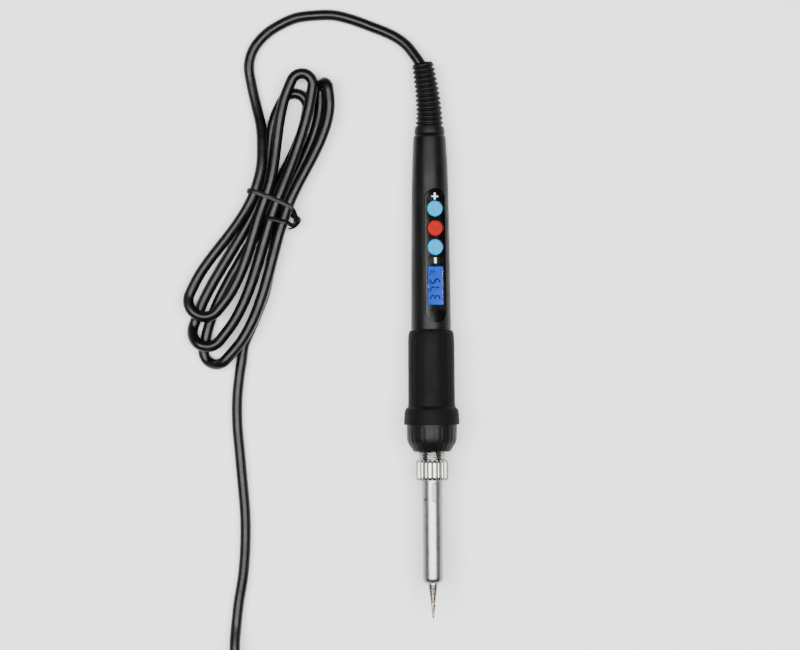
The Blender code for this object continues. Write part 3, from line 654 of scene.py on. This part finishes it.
# Each time that the lead passes the waist, in order: its place across it, in pitches, and its height.
WAIST_PLACES = (
    (-1.5, UPPER_LAYER), (-0.5, UPPER_LAYER), (0.5, UPPER_LAYER), (-1.0, LOWER_LAYER), (0.0, LOWER_LAYER),
    (1.5, UPPER_LAYER), (1.0, LOWER_LAYER),
)
# The fold between one pass and the next, at the lower and the upper end by turns: its centre, its radii
# across and along, its angles, its heights at the start and end, and the shares of it between which the
# height changes.
HANK_FOLDS = (
    ((-95, 17), (7.0, 7.0), (150, 325), (6.0, 7.7), (0.0, 0.45)),
    ((-53.5, 107.5), (4.6, 4.6), (160, -15), (7.5, 7.5), (0.0, 1.0)),
    ((-94, 4), (6.6, 6.6), (325, 155), (7.4, 2.5), (0.45, 1.0)),
    ((-57, 98.5), (5.6, 5.6), (155, -15), (2.5, 2.5), (0.0, 1.0)),
    ((-90.5, -4.4), (5.6, 5.6), (165, 320), (2.5, 7.5), (0.35, 1.0)),
    ((-44.2, 105), (1.8, 3.4), (15, 195), (7.7, 2.5), (0.0, 1.0)),
)

# The tie: from between the strands over the lower part of the waist, round its right end, back over the
# upper part, under everything and up to a hook at the right.
TIE_ROUTE = (
    (-69.7, 51.9, 5.6), (-69.5, 51.8, 8.0), (-68.4, 51.4, 10.2), (-66.0, 50.8, 10.9), (-63.6, 50.2, 11.0),
    (-61.4, 49.7, 11.2), (-59.6, 49.1, 10.4), (-58.0, 48.2, 9.0), (-56.9, 48.6, 8.2), (-56.4, 50.4, 8.4),
    (-56.6, 52.4, 9.4), (-57.4, 54.4, 10.8), (-59.2, 56.3, 11.3), (-61.6, 57.6, 11.0), (-64.0, 58.6, 11.1),
    (-66.4, 59.7, 11.0), (-68.8, 60.6, 11.2), (-71.2, 61.5, 10.9), (-73.8, 62.4, 11.0), (-76.0, 63.0, 9.6),
    (-76.7, 63.0, 7.4), (-76.0, 62.6, 4.6), (-74.2, 61.8, 2.0), (-71.8, 60.6, 0.7), (-68.0, 58.6, 0.7),
    (-64.0, 56.4, 0.7), (-60.4, 54.2, 0.7), (-57.2, 52.2, 1.4), (-55.4, 50.8, 3.6), (-55.2, 49.6, 6.2),
    (-56.2, 48.0, 7.6), (-57.8, 47.0, 8.0), (-59.4, 46.7, 8.4),
)

PLUG_X = -83.5
PLUG_FACE = -172.0
PLUG_LENGTH = 35.0
PLUG_HALF_WIDTH = 17.65
PLUG_HALF_HEIGHT = 6.85
PLUG_SHOULDER = 15.0  # where the body starts to narrow
PLUG_NECK = 28.0  # where it has narrowed to the ribbed neck
PLUG_NECK_WIDE = 5.4
PLUG_NECK_HIGH = 4.6
PLUG_RIB_START = 20.0
PLUG_RIB_PITCH = 2.2
PLUG_LIP = 0.9  # how far the front's edge is rounded inwards
PLUG_LIP_LENGTH = 1.2
PIN_SPACING = 18.6
PIN_R = 2.0
PIN_SLEEVE = -9.8  # where a pin's insulating sleeve ends


def ease(share):
    """A share from 0 to 1 with a soft start and end."""
    share = min(1.0, max(0.0, share))
    return share * share * (3 - 2 * share)


def waist_point(place):
    """Where the lead passes the waist at one of its places."""
    across, height = place
    x = WAIST[0] + across * WAIST_PITCH * math.cos(WAIST_LEAN)
    y = WAIST[1] - across * WAIST_PITCH * math.sin(WAIST_LEAN)
    return np.array((x, y, height))


def fold_points(centre, radii, angles, heights, change, count=13):
    """Points round one fold of the hank."""
    points = []
    for t in np.linspace(0, 1, count):
        a = math.radians(angles[0] + (angles[1] - angles[0]) * t)
        x = centre[0] + radii[0] * math.cos(a)
        y = centre[1] + radii[1] * math.sin(a)
        level = heights[0] + (heights[1] - heights[0]) * ease((t - change[0]) / (change[1] - change[0]))
        points.append(np.array((x, y, level)))
    return points


def strand(start, way, fold_end, fold_next):
    """Points from the waist to a fold's end, which leave along the hank and meet the fold in line with it."""
    arrive = (fold_next - fold_end)[:2]
    arrive /= np.linalg.norm(arrive)
    chord = np.linalg.norm((fold_end - start)[:2])
    points = []
    for t in np.arange(1, 7) / 7:
        flat = (2 * t**3 - 3 * t**2 + 1) * start[:2] + (t**3 - 2 * t**2 + t) * chord * way
        flat = flat + (3 * t**2 - 2 * t**3) * fold_end[:2] + (t**3 - t**2) * chord * arrive
        points.append(np.array((*flat, start[2] + (fold_end[2] - start[2]) * ease(2 * t))))
    return points


def hank_route():
    """The hank's three turns: down round a lower fold, back through the waist and round an upper one."""
    up = np.array((math.sin(WAIST_LEAN), math.cos(WAIST_LEAN)))
    points = [waist_point(WAIST_PLACES[0])]
    for i, fold in enumerate(HANK_FOLDS):
        way = up if i % 2 else -up
        before = waist_point(WAIST_PLACES[i])
        after = waist_point(WAIST_PLACES[i + 1])
        bend = fold_points(*fold)
        points += strand(before, way, bend[0], bend[1]) + bend
        points += strand(after, way, bend[-1], bend[-2])[::-1] + [after]
    return points


def make_lead():
    """The whole lead as one piece, from inside the boot to inside the plug."""
    points = smooth_points([*ARCH_ROUTE, *hank_route(), *TAIL_ROUTE], 1.5)
    curve = bpy.data.curves.new("mains_lead", "CURVE")
    curve.dimensions = "3D"
    curve.bevel_depth = DRAWN_CORD_R * MM
    curve.bevel_resolution = 6
    curve.use_fill_caps = True
    curve.resolution_u = 1
    spline = curve.splines.new("POLY")
    spline.points.add(len(points) - 1)
    spline.points.foreach_set("co", np.hstack([points * MM, np.ones((len(points), 1))]).ravel())
    curve.materials.append(CORD_PVC.material)
    lead = bpy.data.objects.new("mains_lead", curve)
    bpy.context.scene.collection.objects.link(lead)
    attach(lead, "handle")
    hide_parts("lead_arch", "lead_hank", "lead_tail")
    return lead


def make_tie():
    """A flat plastic ribbon with a round wire in its middle, twisted where its ends meet."""
    points = smooth_points(TIE_ROUTE, 0.7)
    section = [(-0.95, -0.12), (-0.5, -0.2), (0.0, -0.42), (0.5, -0.2), (0.95, -0.12)]
    section += [(x, -y) for x, y in reversed(section)]
    mesh = loft("twist_tie", sweep(points, section), angle=60.0)
    return solid("twist_tie", mesh, Matrix.Identity(4), TIE_PLASTIC, "handle", ["cord_tie"])


def plug_section(station):
    """Half of the plug's width and of its height at a distance from its face."""
    wide = PLUG_HALF_WIDTH
    if station <= PLUG_SHOULDER:
        dip = math.sin(math.pi * max(0.0, station - 4.0) / 11.0) ** 2
        return wide, PLUG_HALF_HEIGHT - 0.9 * dip
    narrowing = ease((station - PLUG_SHOULDER) / (PLUG_NECK - PLUG_SHOULDER))
    thinning = max(0.0, (station - PLUG_NECK) / (PLUG_LENGTH - PLUG_NECK))
    ribs = 0.5 * (1 + math.cos(2 * math.pi * (station - PLUG_RIB_START) / PLUG_RIB_PITCH))
    fade = min(1.0, max(0.0, (station - PLUG_RIB_START) / 2.0)) * (station < PLUG_LENGTH - 1.0)
    groove = 0.55 * ribs**3 * fade
    wide += (PLUG_NECK_WIDE - PLUG_HALF_WIDTH) * narrowing - 1.6 * thinning
    high = PLUG_HALF_HEIGHT + (PLUG_NECK_HIGH - PLUG_HALF_HEIGHT) * narrowing - 1.0 * thinning
    return wide - groove, high - groove


def pin_place(side):
    """The frame of the left (-1) or right (1) pin, at the plug's face."""
    return Matrix.Translation(Vector((PLUG_X + side * PIN_SPACING / 2, PLUG_FACE, PLUG_HALF_HEIGHT)) * MM)


def make_pin(side, name):
    """A round pin with its insulating sleeve next to the plug."""
    profile = soften(
        [(0.0, 8.0), (PIN_R, 8.0, 0.3), (PIN_R, -9.6, 0.15), (1.86, -9.7), (1.86, -9.9), (PIN_R, -10.0, 0.15),
         (PIN_R, -19.0, 1.6), (0.0, -19.0)],
        closed=False,
    )  # fmt: skip
    pin = lathe(name, dense(profile, 1.0, False), 48, closed=False)
    pin.materials.append(PIN_NICKEL.material)
    pin.materials.append(PLUG_PLASTIC.material)
    for face in pin.polygons:
        face.material_index = int(face.center.y > PIN_SLEEVE * MM)
    nodes = [name.replace("round", "plug")]
    return solid(name, pin, pin_place(side), PIN_NICKEL, "handle", nodes)


def make_plug():
    """A flat two-pin plug: a bowed front, a waist for the fingers and a ribbed taper round the lead."""
    front = np.linspace(0.0, PLUG_LIP_LENGTH, 5)
    body = np.linspace(1.8, PLUG_SHOULDER, 20)
    taper = np.linspace(15.3, PLUG_LENGTH, 90)
    rings = []
    for station in np.concatenate([front, body, taper]):
        wide, high = plug_section(station)
        inwards = 1 - min(1.0, station / PLUG_LIP_LENGTH)
        lip = PLUG_LIP * (1 - math.sqrt(max(0.0, 1 - inwards**2)))
        section = ellipse(wide - lip, high - lip, 72, 0.42)
        rings.append([(PLUG_X + x, PLUG_FACE + station, PLUG_HALF_HEIGHT + z) for x, z in section])
    mesh = loft("two_pin_plug", rings)
    for side in (-1, 1):
        hole = lathe("pin_hole", [(0.0, -1.0), (2.25, -1.0), (2.25, 8.3), (0.0, 8.3)], 40, closed=False)
        mesh = shaped(mesh, hole, "DIFFERENCE", pin_place(side))
    flat = Matrix.Identity(4)
    plug = solid("two_pin_plug", mesh, flat, PLUG_PLASTIC, "handle", ["plug_body"])
    return [plug, make_pin(-1, "round_pin_left"), make_pin(1, "round_pin_right")]


# ---------------- casing
def make_handle():
    """The tube of the handle, with a pocket for the panel and a window under it."""
    profile = [
        (6.5, 85.9, 0.3), (6.85, 85.0, 0.4), (6.95, 83.6, 1.0), (7.58, 71.0, 5.0), (8.05, 42.0, 8.0),
        (8.37, 8.0, 2.0), (8.37, 4.5), (7.5, 4.5), (7.5, -39.8, 0.4), (6.0, -39.8, 0.2), (6.0, 84.2),
        (4.3, 84.2), (4.3, 85.9, 0.3),
    ]  # fmt: skip
    mesh = lathe("handle_shell", dense(soften(profile), 1.6), 160)
    pocket_loop = stadium(PANEL_WIDTH + POCKET_GAP, PANEL_LENGTH + POCKET_GAP)
    pocket = plate("pocket", [pocket_loop], 6.0, -PANEL_THICK - POCKET_GAP)
    window = plate("window", [stadium(WINDOW_WIDTH, WINDOW_LENGTH)], 0.0, -6.0)
    to_panel = IRON.inverted() @ PANEL
    mesh = shaped(mesh, pocket, "DIFFERENCE", to_panel)
    mesh = shaped(mesh, window, "DIFFERENCE", to_panel)
    return solid("handle_shell", mesh, IRON, HANDLE_PLASTIC, "handle", ["handle_body"])


GRIP_BANDS = 14


def make_grip():
    """The rubber sleeve: soft lengthwise flats, a rolled rear edge and a flange to stop the fingers."""

    def relief(turns, station, radius):
        if radius < 8.4:
            return np.full(len(turns), radius)
        fade = np.clip((2.0 - station) / 2.5, 0, 1) * np.clip((station + 27.0) / 1.5, 0, 1)
        wave = np.abs(np.sin(turns * GRIP_BANDS / 2)) ** 0.7
        return radius - 0.12 * fade * (1 - wave)

    profile = [
        (8.42, 4.2, 0.25), (9.1, 3.75, 0.5), (9.52, 2.4, 1.0), (9.7, 0.0, 2.0), (9.8, -26.0, 1.0),
        (9.9, -28.1, 0.5), (10.95, -28.8, 0.5), (11.3, -29.9, 0.6), (11.45, -31.2, 0.6), (11.68, -34.4, 0.5),
        (11.5, -35.45, 0.25), (10.9, -35.5, 0.1), (10.9, -34.5), (7.8, -34.5), (7.8, 4.2),
    ]  # fmt: skip
    mesh = lathe("grip_rubber", dense(soften(profile), 0.9), 168, relief)
    return solid("grip_rubber", mesh, IRON, GRIP_RUBBER, "handle", ["grip_sleeve"])


NOSE_RIBS = 26


def make_nose():
    """The nose: shallow ribs that run down its wall and over its chamfer."""

    def relief(turns, station, radius):
        if radius < 7.95 and station > -45.6:
            return np.full(len(turns), radius)
        depth = 0.10 * np.clip((-36.0 - station) / 1.2, 0, 1) * np.clip((station + 46.5) / 1.6, 0, 1)
        flute = (0.5 - 0.5 * np.cos(turns * NOSE_RIBS)) ** 2.2
        return radius - depth * flute

    profile = [
        (10.6, -34.8, 0.2), (10.55, -38.0, 1.0), (10.45, -41.4, 0.5), (10.1, -42.9, 0.4), (9.1, -44.5, 0.2),
        (7.95, -46.4, 0.25), (7.55, -46.8, 0.15), (5.95, -46.8), (5.95, -45.2), (7.8, -45.2), (7.8, -34.8),
    ]  # fmt: skip
    mesh = lathe("nose_cone", dense(soften(profile), 0.4), 312, relief)
    return solid("nose_cone", mesh, IRON, NOSE_PLASTIC, "handle", ["nose_cap"])


BOOT_RIBS = 13
FIRST_RIB = 90.2
LAST_RIB = 116.2
RIB_DEPTH = 0.72
FIRST_CREST_R = 5.75
CREST_TAPER = 1.15  # how much smaller the last rib's radius is
BOOT_BEND_START = 94.0
BOOT_END = 116.3
BOOT_BEND = 2.75  # how far aside the boot's end leans


def boot_aside(station):
    """How far the boot's middle leans aside at a station."""
    share = max(0.0, (station - BOOT_BEND_START) / (BOOT_END - BOOT_BEND_START))
    return -BOOT_BEND * share**1.5


def make_boot():
    """The strain relief: a flange inside the handle, a rounded foot, then ribs that taper as they bend."""
    pitch = (LAST_RIB - FIRST_RIB) / BOOT_RIBS
    marks = [(82.6, 5.6), (83.8, 5.6), (83.9, 4.0), (86.1, 4.0), (86.2, 6.05), (86.6, 6.3), (87.4, 6.36)]
    marks += [(88.4, 6.3), (89.4, 6.15)]
    for rib in range(BOOT_RIBS):
        start = FIRST_RIB + rib * pitch
        crest = FIRST_CREST_R - CREST_TAPER * (rib / (BOOT_RIBS - 1)) ** 0.9
        root = crest - RIB_DEPTH
        shoulder = crest - 0.16
        wave = (
            (0.0, root), (0.14, root), (0.30, shoulder), (0.42, crest), (0.62, crest), (0.76, shoulder),
            (0.92, root),
        )  # fmt: skip
        marks += [(start + pitch * share, radius) for share, radius in wave]
    marks += [(BOOT_END, 4.3), (116.35, 3.4), (BOOT_END, 2.75), (116.0, 2.5), (108.0, 2.45), (108.0, 0.0)]
    turns = np.arange(72) * 2 * math.pi / 72
    rings = []
    for station, radius in marks:
        x = boot_aside(station)
        lean = (boot_aside(station + 1.5) - boot_aside(station - 1.5)) / 3.0
        side = radius * np.sin(turns)
        rings.append(np.stack([x + side, station - side * lean, radius * np.cos(turns)], axis=1))
    mesh = loft("ribbed_boot", rings, angle=40.0)
    return solid("ribbed_boot", mesh, IRON, BOOT_RUBBER, "handle", ["strain_relief_boot"])


# ---------------- hot end
THREAD_PITCH = 1.0


def make_collar():
    """The collar behind the nut, with a real helical thread."""

    def relief(turns, station, radius):
        if radius < 5.2 or station > -46.0 or radius > 5.8:
            return np.full(len(turns), radius)
        phase = (station / THREAD_PITCH + turns / (2 * math.pi)) % 1.0
        ridge = np.clip(1.6 * (1 - np.abs(2 * phase - 1)) - 0.2, 0, 1)
        fade = min(1.0, max(0.0, (-46.3 - station) / 0.8))
        return radius - 0.32 * fade * (1 - ridge)

    profile = [
        (7.5, -43.4, 0.2), (7.5, -44.9, 0.2), (5.65, -44.9, 0.1), (5.65, -55.0, 0.4), (4.4, -55.0, 0.2),
        (4.4, -43.4),
    ]  # fmt: skip
    mesh = lathe("screw_collar", dense(soften(profile), 0.12), 96, relief, angle=50.0)
    return solid("screw_collar", mesh, IRON, NICKEL, "handle", ["threaded_collar"])


NUT_LOBES = 20


def make_nut():
    """The barrel nut: rounded lobes between deep grooves, domed at both ends."""

    def relief(turns, station, radius):
        if radius < 6.15:
            return np.full(len(turns), radius)
        across = np.abs(((turns * NUT_LOBES / (2 * math.pi)) % 1.0) - 0.5) * 2
        groove = np.clip((across - 0.52) / 0.48, 0, 1)
        crown = 0.14 * across**2
        return np.maximum(6.0, radius - crown - 0.62 * groove**1.3)

    profile = [
        (5.95, -50.3, 0.1), (6.45, -50.35, 0.2), (6.83, -51.3, 0.7), (6.83, -57.7, 0.7), (6.4, -58.6, 0.25),
        (5.9, -58.7, 0.1), (4.55, -58.7, 0.2), (4.55, -56.9), (5.95, -56.9),
    ]  # fmt: skip
    mesh = lathe("barrel_nut", dense(soften(profile), 0.35), 320, relief, angle=40.0)
    return solid("barrel_nut", mesh, IRON, NICKEL, "nut", ["knurled_nut"])


BARREL_R = 4.25
SLOT_STATION = -63.6
SLOT_ANGLES = (10.0, 130.0, 250.0)
VENT_STATION = -66.7
VENT_ANGLES = (315.0, 75.0, 195.0)


def on_barrel(angle, station):
    """A frame on the barrel's surface, at an angle counted from straight up towards +X."""
    turn = Matrix.Rotation(math.radians(angle), 4, "Y")
    return turn @ Matrix.Translation(Vector((0, station, BARREL_R)) * MM)


def make_barrel():
    """The steel sheath with three slots and three vents."""
    profile = [
        (5.6, -55.3, 0.15), (5.6, -56.5, 0.15), (BARREL_R, -56.5, 0.15), (BARREL_R, -99.7, 0.5),
        (3.9, -100.8, 0.5), (3.0, -101.5, 0.25), (2.45, -101.5, 0.1), (2.45, -100.2), (3.75, -99.7, 0.2),
        (3.75, -55.3, 0.15),
    ]  # fmt: skip
    mesh = lathe("slotted_barrel", dense(soften(profile), 0.8), 128)
    for angle in SLOT_ANGLES:
        tool = plate("slot", [stadium(2.2, 8.0, 16)], 2.2, -2.2)
        mesh = shaped(mesh, tool, "DIFFERENCE", on_barrel(angle, SLOT_STATION))
    for angle in VENT_ANGLES:
        tool = plate("vent", [arc(0, 0, 0.65, 0, 345, 24)], 2.2, -2.2)
        mesh = shaped(mesh, tool, "DIFFERENCE", on_barrel(angle, VENT_STATION))
    return solid("slotted_barrel", mesh, IRON, STEEL, "barrel", ["barrel_tube"])


def make_tip():
    """The bit: a sleeve over the heater, a collar, and a cone with a slight bevel near its point."""

    def relief(turns, station, radius):
        if station > -110.5 or radius < 0.05:
            return np.full(len(turns), radius)
        flat = 0.88 * radius / np.maximum(np.cos(turns - 0.6), 0.05)
        return np.where(np.cos(turns - 0.6) > 0, np.minimum(radius, flat), radius)

    profile = [
        (0.0, -98.6), (2.3, -98.6), (2.3, -74.3, 0.1), (3.4, -74.3, 0.2), (3.4, -99.3, 0.3), (2.1, -99.3),
        (2.1, -102.0, 0.4), (1.05, -109.6, 1.5), (0.42, -115.7, 0.3), (0.16, -116.25, 0.1), (0.0, -116.3),
    ]  # fmt: skip
    mesh = lathe("conical_bit", dense(soften(profile, closed=False), 0.4, False), 96, relief, closed=False)
    return solid("conical_bit", mesh, IRON, TIP_PLATING, "tip", ["soldering_tip"])


# ---------------- control panel
PLUS_MARK = 24.65
MINUS_MARK = -2.1
PRINT = (0.05, -0.1)  # the top and bottom of the printed marks


def make_panel():
    """The fascia with its printed marks, the display's window and the glass under it."""
    window = rectangle(SCREEN_WIDTH + 0.2, SCREEN_LENGTH + 0.2, 0.35, 0.0, SCREEN_CENTRE)
    holes = [arc(0, y, BUTTON_R + 0.2, 0, 352.5, 48) for name, y in BUTTONS]
    loops = [stadium(PANEL_WIDTH, PANEL_LENGTH, 32), window, *holes]
    mesh = plate("fascia", loops, 0.0, -PANEL_THICK, 0.14)
    solid("fascia", mesh, PANEL, FASCIA_GLOSS, "handle", ["fascia_panel"])

    along = plate("plus_along", [rectangle(0.8, 2.7, 0.12, 0.0, PLUS_MARK + 0.1)], *PRINT)
    across = plate("plus_across", [rectangle(3.0, 0.42, 0.12, 0.0, PLUS_MARK)], *PRINT)
    plus = shaped(along, across, "UNION")
    minus = plate("minus_bar", [rectangle(1.05, 2.3, 0.12, 0.0, MINUS_MARK)], *PRINT)
    marks = joined([plus, minus], "panel_symbols")
    solid("panel_symbols", marks, PANEL, WHITE_PRINT, "handle")

    screen = rectangle(SCREEN_WIDTH, SCREEN_LENGTH, 0.3, 0.0, SCREEN_CENTRE)
    lens = plate("display_window", [screen], -0.05, -0.75, 0.06)
    solid("display_window", lens, PANEL, LENS_CLEAR, "handle", ["display_lens"])

    cell = plate("lcd_glass", [rectangle(7.0, 18.5, 0.2, 0.0, SCREEN_CENTRE)], -1.2, -2.4, 0.08)
    solid("lcd_glass", cell, PANEL, LCD_BLUE, "handle", ["lcd_cell"])


DIGIT_LAYER = (-1.12, -1.2)  # the top and bottom of the display's segments
DEGREE = (-2.05, -7.75)  # the middle of the degree sign
# Which of a seven-segment figure's bars are lit: the top, upper right, lower right, bottom, lower left,
# upper left and middle one.
FIGURES = {"3": "1111001", "7": "1110000", "5": "1011011", "C": "1001110"}


def figure(character, wide, high, thick):
    """The outlines of one upright figure, centred on its middle."""
    w, h, gap = wide / 2 - thick / 2, high / 2 - thick / 2, thick * 0.12
    bars = (
        ((-w, h), (w, h)), ((w, h), (w, 0)), ((w, 0), (w, -h)), ((w, -h), (-w, -h)),
        ((-w, -h), (-w, 0)), ((-w, 0), (-w, h)), ((-w, 0), (w, 0)),
    )  # fmt: skip
    outlines = []
    for lit, (start, end) in zip(FIGURES[character], bars):
        if lit == "0":
            continue
        a, b = np.array(start), np.array(end)
        way = (b - a) / np.linalg.norm(b - a)
        side = np.array([-way[1], way[0]]) * thick / 2
        a, b = a + way * gap, b - way * gap
        slope = way * thick / 2
        outlines.append([a, a + slope + side, b - slope + side, b, b - slope - side, a + slope - side])
    return outlines


def make_digits():
    """The read-out 375 and its unit, which run along the handle with their tops to its left."""
    placed = []
    for character, station, wide, high, lift in (
        ("3", -17.7, 2.45, 4.6, 0.0), ("7", -14.2, 2.45, 4.6, 0.0), ("5", -10.7, 2.45, 4.6, 0.0),
        ("C", -6.5, 1.3, 2.1, 1.2),
    ):  # fmt: skip
        for outline in figure(character, wide, high, 0.74 if high > 3 else 0.44):
            placed.append([(-(y + lift), station + x) for x, y in outline])
    degree = [arc(*DEGREE, radius, 0, 345, 24) for radius in (0.36, 0.16)]
    bars = [plate("bar", [loop], *DIGIT_LAYER) for loop in placed]
    bars.append(plate("degree", degree, *DIGIT_LAYER))
    mesh = joined(bars, "display_digits")
    return solid("display_digits", mesh, PANEL, LCD_DARK, "handle")


def make_buttons():
    """Domed caps, each with two ears that keep it under the panel and a stem into its switch."""
    for name, y in BUTTONS:
        profile = soften(
            [(0.0, 0.75), (1.6, 0.74, 0.5), (2.9, 0.66, 0.4), (3.24, 0.42, 0.25), (BUTTON_R, 0.0, 0.3),
             (BUTTON_R, -1.4, 0.1), (1.2, -1.4), (1.2, -3.1, 0.1), (0.0, -3.1)],
            closed=False,
        )  # fmt: skip
        mesh = lathe(f"cap_{name}", dense(profile, 0.5, False), 72, closed=False, around="Z")
        ears = plate("ears", [rectangle(2.4, 7.8, 0.2)], -1.2, -1.7, 0.08)
        mesh = shaped(mesh, ears, "UNION")
        place = PANEL @ Matrix.Translation((0, y * MM, 0))
        tone = BUTTON_RED if name == "power" else BUTTON_CYAN
        solid(f"cap_{name}", mesh, place, tone, name, [f"button_{name}"])


# ---------------- CAD nodes that keep their shape
NODE_EDGE = 0.08  # how far the edges of the pieces inside are rounded
INNER_PIECES = (
    (CERAMIC, ("heater_base", "heater_rod")),
    (WIRE, ("heater_lead_left", "heater_lead_right", "sensor_lead_left", "sensor_lead_right")),
    (WHITE_PRINT, ("lcd_backlight",)),
    (MOULDED_BLACK, ("switch_plus", "switch_power", "switch_minus")),
    (MOULDED_BLACK, ("microcontroller", "triac", "inner_frame")),
    (BOARD_GREEN, ("circuit_board",)),
    (NICKEL, ("capacitor", "board_screw_rear", "board_screw_front")),
    (CORD_PVC, ("lead_inner",)),
    (CORE_BROWN, ("supply_wire_live",)),
    (CORE_BLUE, ("supply_wire_neutral",)),
)


def dress_nodes():
    """Gives the pieces inside their materials and soft edges."""
    for finish, names in INNER_PIECES:
        for name in names:
            node = frame["nodes"][name]
            for slot in node.material_slots:
                slot.material = finish.material
            edge = node.modifiers.new("Edges", "BEVEL")
            edge.width = NODE_EDGE * MM
            edge.segments = 2
            edge.limit_method = "ANGLE"


make_camera()
make_floor()
make_lights()
lead = make_lead()
tie = make_tie()
plug_pieces = make_plug()
make_handle()
make_grip()
make_nose()
make_boot()
make_collar()
make_nut()
make_barrel()
make_tip()
make_panel()
make_digits()
make_buttons()
dress_nodes()
